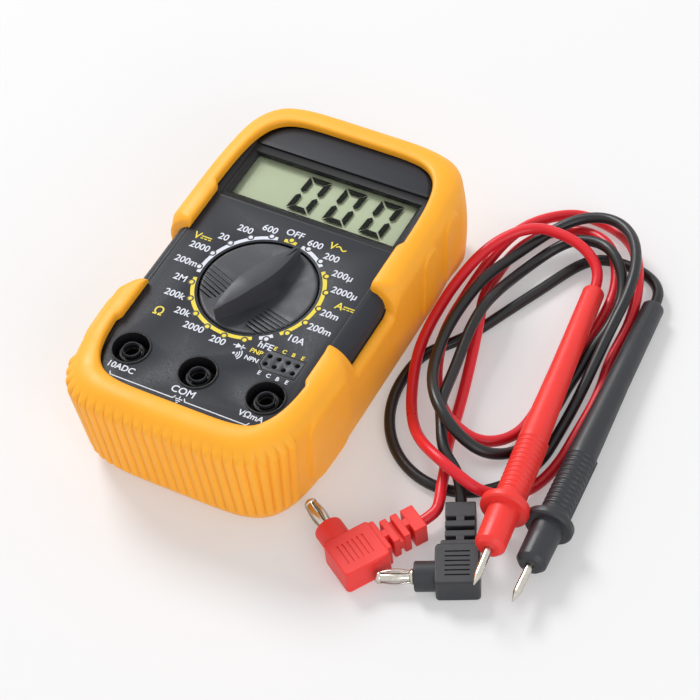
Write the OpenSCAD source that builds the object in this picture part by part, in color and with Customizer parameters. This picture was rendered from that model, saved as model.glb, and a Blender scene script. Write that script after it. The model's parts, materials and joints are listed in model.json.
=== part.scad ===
// Digital multimeter in a rubber holster, with its two test leads lying beside it.
// Millimetres. Origin at the centre of the holster's underside,
// X to the right, Y towards the display, Z up from the table.

/* [Holster] */
// Thickness of the holster's side walls below the lip
side_wall = 2.85; // [2:0.05:6]
// Thickness of the holster's end walls below the lip
end_wall_t = 2.75; // [2:0.05:6]
// Height of the lip above the table
holster_h = 31.6; // [31:0.2:36]
// How much each side leans in from lip to table
holster_draft = 2.2; // [0.5:0.1:3]
// Radius of the rounded lip
lip_round = 5; // [3:0.5:6]
// Radius of the rounded lower edge
foot_round = 2.5; // [1:0.5:4]
// Thickness of the holster floor
holster_floor = 2.2; // [1.5:0.1:3]
// Squareness of the outline, 2 is an ellipse
corner_power = 5.5; // [4:0.5:8]
// Number of ribs across the lower end
rib_count = 24; // [8:1:26]
// Spacing of the end ribs
rib_pitch = 2.1; // [1.8:0.1:2.2]
// How far ribs and grip pads stand out
grip_raise = 0.8; // [0.3:0.1:1.2]
// Length of the side notches
notch_l = 19.5; // [10:0.5:24]
// Height of the floor of the side notches
notch_z = 22.4; // [18:0.2:25]

/* [Case] */
// Depth of the panel below the lip
panel_drop = 2.5; // [1.5:0.1:3]
// Width of the case
case_w = 60; // [56:0.2:70]
// Length of the case
case_l = 104.6; // [103:0.2:112]
// Wall of the case
case_wall = 2; // [1.5:0.1:2.2]
// Rounding of the panel's outer edge
case_round = 4; // [3:0.25:4.5]
// Gap between case and holster
case_gap = 0.15; // [0.1:0.05:0.4]
// Height of the joint between the case halves
split_z = 16; // [12:0.5:18]
// Distance of the case screws from the case's sides
boss_side = 8; // [7.5:0.25:9]
// Distance of the case screws from the case's ends
boss_end = 8.3; // [8:0.1:9]

/* [Display] */
// Centre of the display along the case
display_y = 28.2; // [27:0.2:29]
// Width of the panel on each side of the opening over the display
window_side = 5.5; // [5.5:0.25:8]
// Height of the opening over the display
window_l = 16.2; // [14:0.2:16.6]
// Depth of the shallow frame round the opening
bezel_depth = 0.6; // [0.2:0.1:0.8]

/* [Dial] */
// Position of the dial along the case
dial_y = -5.5; // [-7:0.25:-5]
// Radius of the dial
dial_r = 14.9; // [13:0.1:15]
// Gap round the dial
dial_gap = 0.5; // [0.3:0.05:0.6]
// Number of switch positions
dial_stops = 20; // [12:1:20]
// Position that the pointer stands at, counted clockwise
dial_stop = 1; // [0:1:19]
// Half width of the pointer fin
fin_half_w = 2.8; // [2:0.1:3.5]
// Height of the fin above the panel
fin_h = 4.9; // [3.5:0.1:6]

/* [Sockets] */
// Spacing of the test sockets
socket_pitch = 19.05; // [18:0.05:19.05]
// Position of the test sockets along the case
socket_y = -35.6; // [-36:0.1:-35]
// Bore of the test sockets
socket_bore = 4.1; // [4.02:0.02:4.2]
// Depth of the test sockets' bore
socket_depth = 14.5; // [10:0.5:15]
// Spacing of the transistor socket's holes
pin_pitch = 2.54; // [2:0.02:2.54]

/* [Battery] */
// Length of the battery without its terminals
battery_l = 46.4; // [44:0.2:46.6]
// Width of the battery
battery_w = 26.5; // [24:0.5:26.5]
// Thickness of the battery
battery_t = 16.6; // [15:0.1:16.8]

/* [Leads] */
// Outside diameter of the cables
cable_d = 2.9; // [2.4:0.1:3]
// Thickness of a plug's body
plug_t = 7.5; // [6.5:0.1:8]
// Diameter of a plug's contact
plug_pin_d = 4; // [3.6:0.05:4]
// Length of a plug's contact
plug_pin_l = 9.5; // [8:0.5:14]
// Length of a plug's strain relief
relief_l = 11.5; // [10:0.5:13]
// Length of a probe's handle up to its finger flange
handle_l = 74; // [70:0.5:78]
// Radius of a probe's handle at the grip
handle_r = 3.75; // [3.2:0.05:3.8]
// Radius of a probe's finger flange
flange_r = 6.2; // [5:0.1:6.2]
// Length of a probe's bare tip
tip_l = 11; // [8:0.5:14]

/* [Hidden] */
$fn = 48;
eps = 0.01;
loft_count = 48;
holster_w = case_w + 2 * (case_gap + side_wall);
holster_l = case_l + 2 * (case_gap + end_wall_t);
panel_z = holster_h - panel_drop;
panel_under = panel_z - case_wall;
case_draft = holster_draft - 0.3;
case_floor = holster_floor + case_wall;
straight_top = panel_z - case_round;
// How far a case wall has leaned in at the joint between the halves
split_lean = case_draft * (straight_top - split_z) / (straight_top - holster_floor);
// Circuit board and the parts on it
board_t = 1.6;
board_top = panel_z - 6.2;
board_z = board_top - board_t;
board_side = 2.5;
board_w = case_w - 2 * (case_wall + board_side);
board_y0 = -case_l / 2 + 11.8;
board_y1 = case_l / 2 - 11.3;
running = 0.05;
// Display stack
window_w = case_w - 2 * window_side;
window_t = 1.1;
glass_t = 2.2;
rim = 1;
glass_z = panel_under - window_t - glass_t;
holder_w = 3;
// Dial
dial_angle = -360 / dial_stops * dial_stop;
pivot_r = 2;
flange_z = board_top + 0.7;
dial_flange_r = dial_r + 1.7;
dial_flange_h = panel_under - 0.3 - flange_z;
detent_r = dial_flange_r + 0.65;
ball_r = 1.05;
ball_at = dial_flange_r - 0.7;
ball_z = flange_z + dial_flange_h / 2;
spring_l = 4;
spring_wire = 0.3;
spring_r = ball_r - 0.1;
dish = 1.1;
track_r = [6, 9, 12];
track_w = 2;
fin_l = dial_r - 0.6;
// Sockets
socket_r = socket_bore / 2;
socket_wall = 0.4;
socket_top = panel_under - 0.6;
well_r = 4.7;
cup_wall = 1;
cup_z = board_top + 0.3;
collar_wall = 0.6;
hfe_x = 17.5;
hfe_y = -25.05;
hfe_cols = 4;
hfe_w = 4 * pin_pitch + 0.2;
hfe_l = 6;
hfe_cut = 1.5;
// Screws
boss_r = 2.75;
screw_r = 1.2;
screw_head_r = 2.25;
screw_head_h = 1.7;
screw_grip = 6;
post_r = 2.2;
post_screw_r = 0.95;
post_screw_l = 3.2;
boss_x = case_w / 2 - boss_side;
boss_y = case_l / 2 - boss_end;
post_x = board_w / 2 - 3;
posts = [[post_x, -1], [-post_x, -1], [8, -27.5], [-8, -27.5]];
// Battery
battery_end = 5.2;
battery_z = case_floor;
terminal_r = 2.8;
terminal_h = 2.2;
terminal_gap = 12.7;
snap_t = 1.6;
snap_h = 11;
// Middle of the battery's terminal end
battery_mid = [0, case_l / 2 - battery_end - battery_l, battery_z + battery_t / 2];
// Fuse
fuse_l = 20;
fuse_r = 2.3;
fuse_y = -19;
fuse_cap_l = 5;
fuse_cap_t = 0.3;
fuse_z = board_z - fuse_r - 1.1;
// Plugs, each with its elbow's place and the heading of its cable
plug_axis = plug_t / 2;
plug_half = 5.5;
plug_back = 4.7;
plug_front = 8;
collar_r = 3.7;
collar_l = 5.5;
plug_exit = plug_front + relief_l;
red_plug = [49.5, -53.7, 58];
black_plug = [75.6, -47, 116];
// Probes, each from the end of its handle towards its tip
nose_l = 11.8;
flange_t = 2.5;
tail_r = 2.9;
tip_r = 1;
tip_seat = 6;
probe_l = handle_l + flange_t + nose_l + tip_l;
red_probe = [[67.7, 45.9, 5], [82.3, -53.7, 11]];
black_probe = [[83.2, 48.6, 3.4], [91, -50, 7]];
// Cable routes as rows of x, y, heading and rank, where a higher rank lies over a lower one
cable_floor = 1.5;
strand_pitch = 4;
strand_fall = 14;
end_straight = 2;
route_step = 2.5;
ring_step = 5;
cable_sides = 6;
red_route = [
    [60.1, -26, 107, 3], [53.5, -7.5, 104, 3], [47.5, 16.5, 104, 3], [41, 47.5, 90, 3],
    [55, 65.5, 0, 3], [72.2, 44.5, -90, 3], [71.8, 32.5, -93, 3], [69.6, 19.5, -91, 3],
    [69.6, 4.5, -90, 4], [60, -9.5, 180, 4], [37, 35.5, 90, 4], [54, 72, 0, 4],
    [79.4, 38.5, -90, 4], [81.9, 9.5, -90, 7], [81.9, -1.5, -90, 7], [68, -25.3, 180, 7],
    [33.6, 27.5, 90, 7], [50, 57.5, 0, 7]];
black_route = [
    [54.5, -14.5, 117, 5], [49, -0.5, 100, 5], [45.5, 36.5, 90, 5], [58, 60, 0, 5],
    [75.9, 41.5, -90, 5], [74.4, 24.5, -92, 5], [73.7, 14.5, -90, 5], [73.7, 2.5, -90, 6],
    [63, -15, 180, 6], [40, 22.5, 92, 6], [61.5, 68.5, 0, 6], [77.7, 40.5, -90, 6],
    [77.8, 9.5, -90, 2], [77.8, -1.5, -90, 2], [58, -24.5, 180, 2], [34.4, 2.5, 90, 1],
    [46, 27.5, 66, 1], [56, 49.5, 66, 1], [69, 60.5, 0, 1]];

holster_colour = [0.95, 0.6, 0.12];
case_colour = [0.2, 0.2, 0.22];
black_colour = [0.1, 0.1, 0.11];
red_colour = [0.85, 0.12, 0.13];
metal_colour = [0.75, 0.75, 0.72];
copper_colour = [0.8, 0.5, 0.25];
board_colour = [0.1, 0.35, 0.2];

// Outlines and lofts

function signed_pow(v, e) = sign(v) * pow(abs(v), e);

function oval(a, b, power, count) = [for (i = [0 : count - 1])
    let (t = 360 * i / count)
    [a * signed_pow(cos(t), 2 / power), b * signed_pow(sin(t), 2 / power)]];

// Half sizes and heights of a box with rounded edges whose sides lean in towards the bottom
function box_sections(w, l, draft, z0, z1, r0, r1) =
    let (straight = z1 - r1 - z0)
    let (lean = function (z) draft * max(0, (z1 - r1 - z) / straight))
    concat(
        [for (t = r0 > 0 ? [90, 45, 0] : [0])
            let (z = z0 + r0 * (1 - sin(t)), inset = lean(z) + r0 * (1 - cos(t)))
            [w / 2 - inset, l / 2 - inset, z]],
        [for (t = r1 > 0 ? [0, 30, 60, 90] : [0])
            let (z = z1 - r1 + r1 * sin(t), inset = r1 * (1 - cos(t)))
            [w / 2 - inset, l / 2 - inset, z]]);

module loft(sections) {
    n = loft_count;
    last = (len(sections) - 1) * n;
    points = [for (s = sections) for (p = oval(s[0], s[1], corner_power, n)) [p.x, p.y, s[2]]];
    sides = [for (k = [0 : len(sections) - 2]) for (i = [0 : n - 1])
        let (a = k * n + i, b = k * n + (i + 1) % n)
        each [[a, a + n, b + n], [a, b + n, b]]];
    bottom = [for (i = [0 : n - 1]) i];
    top = [for (i = [n - 1 : -1 : 0]) last + i];
    polyhedron(points = points, faces = concat([bottom], sides, [top]));
}

// Holster

function holster_half_w(z) =
    holster_w / 2 - holster_draft * max(0, 1 - z / (holster_h - lip_round));

// Where the lower end wall stands at a distance x from the middle and a height z
function end_wall(x, z) =
    let (a = holster_half_w(z), b = a + (holster_l - holster_w) / 2)
    -b * pow(1 - pow(min(1, abs(x) / a), corner_power), 1 / corner_power);

module holster_skin(grow) {
    loft(box_sections(holster_w + 2 * grow, holster_l + 2 * grow, holster_draft,
        0, holster_h, foot_round, lip_round));
}

// A grip pad with an arched top on both sides, as the outline of a prism across the holster
module pad(y0, y1, top) {
    r = min((y1 - y0) / 2 - eps, 8);
    foot = 3;
    intersection() {
        holster_skin(grip_raise);
        rotate([90, 0, 90])
            linear_extrude(2 * holster_w, center = true)
                translate([y0, foot])
                    offset(r = r) offset(delta = -r)
                        square([y1 - y0, top - foot]);
    }
}

module end_ribs() {
    z0 = 2;
    z1 = 24.5;
    fade = 3;
    for (i = [0 : rib_count - 1]) {
        x = (i - (rib_count - 1) / 2) * rib_pitch;
        foot = [x, end_wall(x, z0), z0];
        along(foot, [x, end_wall(x, z1), z1])
            rotate_extrude($fn = 16)
                polygon([[0, 0], [grip_raise, fade], [grip_raise, z1 - z0 - fade], [0, z1 - z0]]);
    }
}

module front_opening() {
    a = case_w / 2 - 2.8;
    b = case_l / 2 - 5.05;
    middle = 0.75;
    neck = case_w / 2 - 4;
    neck_y = [socket_y + 6.1, display_y - 7.7];
    soft = 1.2;
    translate([0, 0, panel_z - 2])
        linear_extrude(holster_h)
            offset(r = soft) offset(delta = -soft)
                difference() {
                    translate([0, middle])
                        polygon(oval(a, b, 5, loft_count));
                    for (s = [-1, 1])
                        translate([s * (neck + a / 2), (neck_y[0] + neck_y[1]) / 2])
                            square([a, neck_y[1] - neck_y[0]], center = true);
                }
}

module side_notches() {
    soft = 2.5;
    inner = case_w / 2 - 5;
    y = dial_y + 0.75;
    for (s = [0, 1])
        mirror([s, 0, 0])
            translate([inner, y - notch_l / 2, notch_z])
                rotate([90, 0, 90])
                    linear_extrude(holster_w)
                        offset(r = soft) offset(delta = -soft)
                            square([notch_l, holster_h]);
}

module holster() {
    color(holster_colour)
        difference() {
            union() {
                holster_skin(0);
                pad(-38.5, -15.5, 22);
                pad(20.5, 27.5, 24);
                pad(33.5, 40.5, 24);
                end_ribs();
            }
            loft(box_sections(case_w + 2 * case_gap, case_l + 2 * case_gap, case_draft,
                holster_floor, panel_z + case_gap, 1, case_round));
            front_opening();
            side_notches();
        }
}

// Case

module at_bosses() {
    for (x = [-boss_x, boss_x])
        for (y = [-boss_y, boss_y])
            translate([x, y, 0])
                children();
}

module at_sockets() {
    for (i = [-1, 0, 1])
        translate([i * socket_pitch, socket_y, 0])
            children();
}

module front_shell() {
    difference() {
        loft(box_sections(case_w, case_l, split_lean, split_z, panel_z, 0, case_round));
        loft(box_sections(case_w - 2 * case_wall, case_l - 2 * case_wall, split_lean,
            split_z - eps, panel_under, 0, case_round - case_wall));
    }
}

// The panel's shallow frame with its cut corners, and the opening in it
module display_cut() {
    bezel = [54, 20.1];
    bezel_shift = 0.5;
    cut = 1.2;
    translate([0, display_y + bezel_shift, panel_z - bezel_depth])
        linear_extrude(case_wall)
            offset(delta = cut, chamfer = true)
                square([bezel.x - 2 * cut, bezel.y - 2 * cut], center = true);
    translate([-window_w / 2, display_y - window_l / 2, panel_under - eps])
        cube([window_w, window_l, 2 * case_wall]);
}

module hfe_outline(gap) {
    w = hfe_w / 2 + gap;
    l = hfe_l / 2 + gap;
    polygon([[-w + hfe_cut, -l], [w, -l], [w, l], [-w, l], [-w, -l + hfe_cut]]);
}

module detent_ring() {
    ring_w = 2;
    ring_h = panel_under - board_top - 1.1;
    notch_r = 1.3;
    translate([0, dial_y, panel_under - ring_h])
        difference() {
            cylinder(r = detent_r + ring_w, h = ring_h + eps);
            translate([0, 0, -eps])
                cylinder(r = detent_r, h = ring_h + 3 * eps);
            for (i = [0 : dial_stops - 1])
                rotate(360 / dial_stops * i)
                    translate([detent_r - 0.3, 0, -eps])
                        cylinder(r = notch_r, h = ring_h, $fn = 16);
        }
}

module front_case() {
    rim_h = 0.3;
    collar_top = panel_z - 1.5;
    color(case_colour)
        difference() {
            union() {
                front_shell();
                detent_ring();
                at_sockets() {
                    translate([0, 0, cup_z])
                        cylinder(r = well_r + cup_wall, h = panel_under - cup_z + eps);
                    translate([0, 0, panel_under])
                        cylinder(r = well_r + cup_wall / 2, h = panel_z + rim_h - panel_under);
                }
                at_bosses()
                    translate([0, 0, split_z])
                        cylinder(r = boss_r, h = panel_under + eps - split_z);
                for (p = posts)
                    translate([p.x, p.y, board_top])
                        cylinder(r = post_r, h = panel_under + eps - board_top);
            }
            display_cut();
            translate([0, dial_y, panel_under - eps])
                cylinder(r = dial_r + dial_gap, h = 2 * case_wall);
            at_sockets() {
                cylinder(r = socket_r + socket_wall + running, h = 2 * panel_z);
                difference() {
                    translate([0, 0, cup_z + cup_wall])
                        cylinder(r = well_r, h = panel_z);
                    cylinder(r = socket_r + socket_wall + running + collar_wall, h = collar_top);
                }
            }
            translate([hfe_x, hfe_y, panel_under - eps])
                linear_extrude(2 * case_wall)
                    hfe_outline(0.1);
            at_bosses()
                translate([0, 0, split_z - eps])
                    cylinder(r = screw_r + running, h = screw_grip + 0.5);
            for (p = posts)
                translate([p.x, p.y, board_top - eps])
                    cylinder(r = post_screw_r + running, h = post_screw_l + 0.3);
        }
}

module rear_case() {
    lower_w = case_w - 2 * split_lean;
    lower_l = case_l - 2 * split_lean;
    lower_draft = case_draft - split_lean;
    color(case_colour)
        difference() {
            union() {
                difference() {
                    loft(box_sections(lower_w, lower_l, lower_draft, holster_floor, split_z, 1, 0));
                    loft(box_sections(lower_w - 2 * case_wall, lower_l - 2 * case_wall, lower_draft,
                        case_floor, split_z + eps, 1, 0));
                }
                at_bosses()
                    translate([0, 0, case_floor - eps])
                        cylinder(r = boss_r, h = split_z - case_floor + eps);
            }
            at_bosses() {
                cylinder(r = screw_r + running, h = holster_h);
                cylinder(r = screw_head_r + running, h = holster_floor + screw_head_h + 0.1);
            }
        }
}

module case_screws() {
    head_z = holster_floor + 0.1;
    color(metal_colour)
        at_bosses()
            translate([0, 0, head_z]) {
                cylinder(r = screw_head_r, h = screw_head_h);
                cylinder(r = screw_r, h = split_z + screw_grip - head_z);
            }
}

// Display

module display_window() {
    color([0.8, 0.85, 0.85, 0.4])
        translate([0, display_y, panel_under - window_t / 2])
            cube([window_w + 2 * rim, window_l + 2.4 * rim, window_t], center = true);
}

module lcd_glass() {
    color([0.68, 0.72, 0.62])
        translate([0, display_y, glass_z + glass_t / 2])
            cube([window_w + rim, window_l + 1.3 * rim, glass_t], center = true);
}

module lcd_holder() {
    h = panel_under - window_t - 0.1 - board_top;
    hole = [window_w + 1.2 * rim, window_l + 1.5 * rim];
    color(black_colour)
        translate([0, display_y, board_top])
            linear_extrude(h)
                difference() {
                    square([hole.x + holder_w, hole.y + holder_w], center = true);
                    square(hole, center = true);
                }
}

module zebra_strips() {
    strip = [window_w - 3, 2];
    color([0.85, 0.6, 0.65])
        for (s = [-1, 1])
            translate([-strip.x / 2, display_y + s * (window_l / 2 - 0.8) - strip.y / 2, board_top])
                cube([strip.x, strip.y, glass_z - board_top]);
}

// Circuit board

module circuit_board() {
    soft = 2;
    color(board_colour)
        translate([0, 0, board_z])
            difference() {
                linear_extrude(board_t)
                    translate([-board_w / 2, board_y0])
                        offset(r = soft) offset(delta = -soft)
                            square([board_w, board_y1 - board_y0]);
                translate([0, dial_y, -eps])
                    cylinder(r = pivot_r + running, h = 2 * board_t);
                at_sockets()
                    translate([0, 0, -eps])
                        cylinder(r = socket_r + socket_wall + running, h = 2 * board_t);
                for (p = posts)
                    translate([p.x, p.y, -eps])
                        cylinder(r = post_screw_r + 2 * running, h = 2 * board_t);
            }
}

module board_screws() {
    head_h = 1.2;
    shank = board_t + post_screw_l;
    color(metal_colour)
        for (p = posts)
            translate([p.x, p.y, board_z - head_h]) {
                cylinder(r = 2, h = head_h);
                cylinder(r = post_screw_r, h = head_h + shank);
            }
}

module switch_tracks() {
    track_t = 0.05;
    color(copper_colour)
        for (r = track_r)
            translate([0, dial_y, board_top])
                difference() {
                    cylinder(r = r + track_w / 2, h = track_t);
                    translate([0, 0, -eps])
                        cylinder(r = r - track_w / 2, h = track_t + 2 * eps);
                }
}

module chip_blob() {
    r = 6;
    h = 2;
    color(black_colour)
        translate([-14, -8, board_z - h])
            cylinder(r1 = r - 2.5, r2 = r, h = h);
}

module resistors() {
    r = 1;
    l = 6;
    leg = 0.6;
    color([0.75, 0.65, 0.45])
        for (p = [[14.5, 1.5], [14.5, -2], [14.5, -5.5], [14.5, -9], [-19, -18], [-19, -21.5]])
            translate([p.x, p.y, board_z - r - leg]) {
                rotate([0, 90, 0])
                    cylinder(r = r, h = l, $fn = 24);
                for (x = [1, l - 1])
                    translate([x, 0, 0])
                        cylinder(r = 0.3, h = r + leg, $fn = 16);
            }
}

module capacitors() {
    h = 5;
    color([0.2, 0.25, 0.5])
        for (p = [[-18, 8], [-18, 13], [20, -16]])
            translate([p.x, p.y, board_z - h])
                cylinder(r = 2, h = h);
}

module trimmer() {
    h = 3;
    slot = 0.6;
    color([0.2, 0.4, 0.7])
        translate([13, -14, board_z - h])
            difference() {
                cylinder(r = 3, h = h);
                translate([-2, -slot / 2, -eps])
                    cube([4, slot, slot]);
            }
}

// Rotary switch

// Side view of the pointer fin, from its tail to its tip
function fin_profile() = [[-fin_l, panel_z - 2 * dish], [fin_l, panel_z - 2 * dish],
    [fin_l, panel_z + 0.65 * fin_h], [fin_l / 2, panel_z + 0.76 * fin_h],
    [-fin_l / 4, panel_z + fin_h], [-0.8 * fin_l, panel_z + 0.94 * fin_h],
    [-fin_l, panel_z + 0.8 * fin_h]];

module fin() {
    // The two bowed sides would meet this far from the middle, past the blunt ends
    bow_l = fin_l + 0.6;
    bow_r = (bow_l * bow_l + fin_half_w * fin_half_w) / (2 * fin_half_w);
    intersection() {
        linear_extrude(2 * holster_h)
            intersection() {
                translate([bow_r - fin_half_w, 0])
                    circle(r = bow_r, $fn = 128);
                translate([fin_half_w - bow_r, 0])
                    circle(r = bow_r, $fn = 128);
            }
        rotate([90, 0, 90])
            linear_extrude(4 * fin_half_w, center = true)
                polygon(fin_profile());
    }
}

// Grooves across the dish, behind the middle on both sides of the fin
module dish_grooves() {
    grooves = 7;
    groove = [dial_r, 0.45, 1];
    pitch = 1.25;
    slope = atan2(dish, dial_r - 0.8 - dial_r / 2.5);
    for (s = [-1, 1])
        for (i = [0 : grooves - 1])
            translate([s * dial_r / 2.5, -dial_r / 5 - i * pitch, panel_z - dish - 0.25])
                rotate([0, -s * slope, 0])
                    translate([s > 0 ? 0 : -groove.x, 0, 0])
                        cube(groove);
}

module dial_knob() {
    bore_l = 6;
    pivot_end = board_z - 0.4;
    color(case_colour)
        translate([0, dial_y, 0])
            rotate(dial_angle)
                difference() {
                    union() {
                        rotate_extrude()
                            polygon([[0, pivot_end], [pivot_r, pivot_end], [pivot_r, flange_z],
                                [dial_flange_r, flange_z],
                                [dial_flange_r, flange_z + dial_flange_h],
                                [dial_r, flange_z + dial_flange_h], [dial_r, panel_z - 0.3],
                                [dial_r - 0.3, panel_z], [dial_r - 0.8, panel_z],
                                [dial_r / 2.5, panel_z - dish], [0, panel_z - dish]]);
                        fin();
                    }
                    dish_grooves();
                    for (s = [0, 180])
                        rotate([0, 90, s])
                            translate([-ball_z, 0, dial_flange_r - bore_l])
                                cylinder(r = ball_r + running, h = bore_l + 1);
                }
}

module contact_wipers() {
    strip = [8, 2, 0.3];
    foot_z = board_top + 0.15;
    color(copper_colour)
        translate([0, dial_y, 0])
            rotate(dial_angle)
                for (a = [0, 120, 240])
                    rotate(a) {
                        translate([track_r[0] - 1, -strip.y / 2, flange_z - strip.z])
                            cube(strip);
                        for (r = track_r)
                            translate([r, 0, foot_z])
                                cylinder(r1 = 0.4, r2 = 0.7, h = flange_z - foot_z, $fn = 24);
                    }
}

// Closed coils, drawn as the sleeve that their turns fill
module detent_springs() {
    color(metal_colour)
        translate([0, dial_y, ball_z])
            for (a = [0, 180])
                rotate([0, 90, dial_angle + a])
                    translate([0, 0, ball_at - ball_r - spring_l])
                        difference() {
                            cylinder(r = spring_r, h = spring_l);
                            translate([0, 0, -eps])
                                cylinder(r = spring_r - spring_wire, h = spring_l + 2 * eps);
                        }
}

module detent_balls() {
    color(metal_colour)
        translate([0, dial_y, ball_z])
            rotate(dial_angle)
                for (a = [0, 180])
                    rotate(a)
                        translate([ball_at, 0, 0])
                            sphere(r = ball_r, $fn = 24);
}

// Sockets

module input_socket(i) {
    z0 = socket_top - socket_depth;
    base = 0.8;
    color(metal_colour)
        translate([i * socket_pitch, socket_y, z0])
            difference() {
                translate([0, 0, -base])
                    cylinder(r = socket_r + socket_wall, h = socket_depth + base);
                cylinder(r = socket_r, h = 2 * socket_depth);
            }
}

module input_socket_left() {
    input_socket(-1);
}

module input_socket_middle() {
    input_socket(0);
}

module input_socket_right() {
    input_socket(1);
}

module at_hfe_pins() {
    for (i = [0 : hfe_cols - 1])
        for (j = [-0.5, 0.5])
            translate([hfe_x + (i - (hfe_cols - 1) / 2) * pin_pitch, hfe_y + j * pin_pitch, board_top])
                children();
}

module transistor_socket() {
    hole_r = 0.65;
    color(case_colour)
        difference() {
            translate([hfe_x, hfe_y, board_top])
                linear_extrude(panel_z - board_top)
                    hfe_outline(0);
            at_hfe_pins()
                translate([0, 0, -eps])
                    cylinder(r = hole_r, h = holster_h, $fn = 24);
        }
}

module transistor_contacts() {
    color(metal_colour)
        at_hfe_pins()
            cylinder(r = 0.55, h = 4.6, $fn = 24);
}

// Fuse, shunt and buzzer

module fuse_tube() {
    color([0.85, 0.88, 0.88, 0.6])
        translate([-fuse_l / 2, fuse_y, fuse_z])
            rotate([0, 90, 0])
                cylinder(r = fuse_r, h = fuse_l);
}

module fuse_caps() {
    color(metal_colour)
        for (s = [0, 1])
            mirror([s, 0, 0])
                translate([fuse_l / 2 - fuse_cap_l, fuse_y, fuse_z])
                    rotate([0, 90, 0])
                        difference() {
                            cylinder(r = fuse_r + fuse_cap_t, h = fuse_cap_l + fuse_cap_t);
                            translate([0, 0, -eps])
                                cylinder(r = fuse_r + 0.03, h = fuse_cap_l + eps);
                        }
}

module fuse_clips() {
    sheet = 0.4;
    width = 4;
    inner = fuse_r + fuse_cap_t + running;
    color(metal_colour)
        for (s = [-1, 1])
            translate([s * (fuse_l / 2 - 2.5) - width / 2, fuse_y, 0]) {
                translate([0, -inner - sheet, board_z - sheet])
                    cube([width, 2 * (inner + sheet), sheet]);
                for (y = [-inner - sheet, inner])
                    translate([0, y, fuse_z - 1.5])
                        cube([width, sheet, board_z - fuse_z + 1.5]);
            }
}

module shunt_wire() {
    bend_r = 5;
    wire_r = 0.8;
    color(copper_colour)
        translate([-19, -27, board_z])
            rotate([-90, 0, 0])
                rotate_extrude(angle = 180)
                    translate([bend_r, 0])
                        circle(r = wire_r, $fn = 24);
}

module buzzer_disc() {
    color([0.8, 0.65, 0.3])
        translate([0, -20, case_floor]) {
            cylinder(r = 10, h = 0.3);
            cylinder(r = 7, h = 0.5);
        }
}

// Battery

module battery_body() {
    soft = 1.5;
    color([0.25, 0.3, 0.5])
        translate([0, battery_mid.y + battery_l, battery_mid.z])
            rotate([90, 0, 0])
                linear_extrude(battery_l)
                    offset(r = soft) offset(delta = -soft)
                        square([battery_w, battery_t], center = true);
}

module battery_terminals() {
    color(metal_colour)
        for (s = [-1, 1])
            translate([battery_mid.x + s * terminal_gap / 2, battery_mid.y, battery_mid.z])
                rotate([90, 0, 0])
                    cylinder(r = terminal_r, h = terminal_h, $fn = 24);
}

module battery_snap() {
    color(black_colour)
        translate([battery_mid.x, battery_mid.y - terminal_h - snap_t / 2, battery_mid.z])
            cube([battery_w - 2, snap_t, snap_h], center = true);
}

module battery_wires() {
    wire_r = 0.6;
    foot = battery_mid.z + snap_h / 2;
    for (s = [-1, 1])
        color(s > 0 ? red_colour : black_colour)
            translate([battery_mid.x + s * terminal_gap / 2, battery_mid.y - terminal_h - snap_t / 2, foot])
                cylinder(r = wire_r, h = board_z - foot, $fn = 24);
}

// Plugs, drawn with the cable along +Y and the contact along -X

module at_plug(place) {
    translate([place.x, place.y, 0])
        rotate(place.z - 90)
            children();
}

module along(p, q) {
    d = q - p;
    translate(p)
        rotate([0, acos(d.z / norm(d)), atan2(d.y, d.x)])
            children();
}

module plug_block() {
    soft = 1.2;
    bevel = 0.7;
    w = 2 * plug_half;
    l = plug_back + plug_front;
    hull() {
        translate([-plug_half, -plug_back, bevel])
            linear_extrude(plug_t - 2 * bevel)
                offset(r = soft, $fn = 32) offset(delta = -soft)
                    square([w, l]);
        translate([-plug_half, -plug_back, 0])
            linear_extrude(plug_t)
                offset(r = soft, $fn = 32) offset(delta = -soft - bevel)
                    square([w, l]);
    }
}

module strain_relief() {
    plates = 4;
    plate = [8, 1.5, 6.5];
    pitch = (relief_l - 1.3 - plate.y) / (plates - 1);
    spine = 1.6;
    translate([0, plug_front - 1, plug_axis])
        rotate([-90, 0, 0])
            cylinder(r = 2.3, h = relief_l + 1);
    translate([-spine / 2, plug_front - 1, plug_axis - plate.z / 2])
        cube([spine, relief_l + 1, plate.z]);
    for (i = [0 : plates - 1])
        translate([-plate.x / 2, plug_exit - plate.y - i * pitch, plug_axis - plate.z / 2])
            cube(plate);
}

module plug_body(place) {
    grooves = 6;
    groove = [6, 0.5, 0.35];
    shoulder = [2, 4.2, 6.3];
    at_plug(place)
        difference() {
            union() {
                plug_block();
                translate([-plug_half - 0.6, 2.2, plug_axis - shoulder.z / 2])
                    cube(shoulder);
                translate([1 - plug_half, 0, plug_axis])
                    rotate([0, -90, 0])
                        cylinder(r = collar_r, h = collar_l + 1);
                strain_relief();
            }
            for (i = [0 : grooves - 1])
                translate([-groove.x / 2, -2.6 + 1.4 * i, plug_t - groove.z])
                    cube([groove.x, groove.y, 1]);
        }
}

// A turned shape along -X from the collar's face
module on_contact(place) {
    at_plug(place)
        translate([-plug_half - collar_l, 0, plug_axis])
            rotate([0, -90, 0])
                rotate_extrude()
                    children();
}

module plug_pin(place) {
    r = plug_pin_d / 2;
    core = 0.72 * r;
    head = 0.8;
    nose = 1.5;
    color(metal_colour)
        on_contact(place)
            polygon([[0, 0], [0.95 * r, 0], [0.95 * r, head], [core, head],
                [core, plug_pin_l - nose], [0.9 * r, plug_pin_l - nose], [0.4 * r, plug_pin_l],
                [0, plug_pin_l]]);
}

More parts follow.
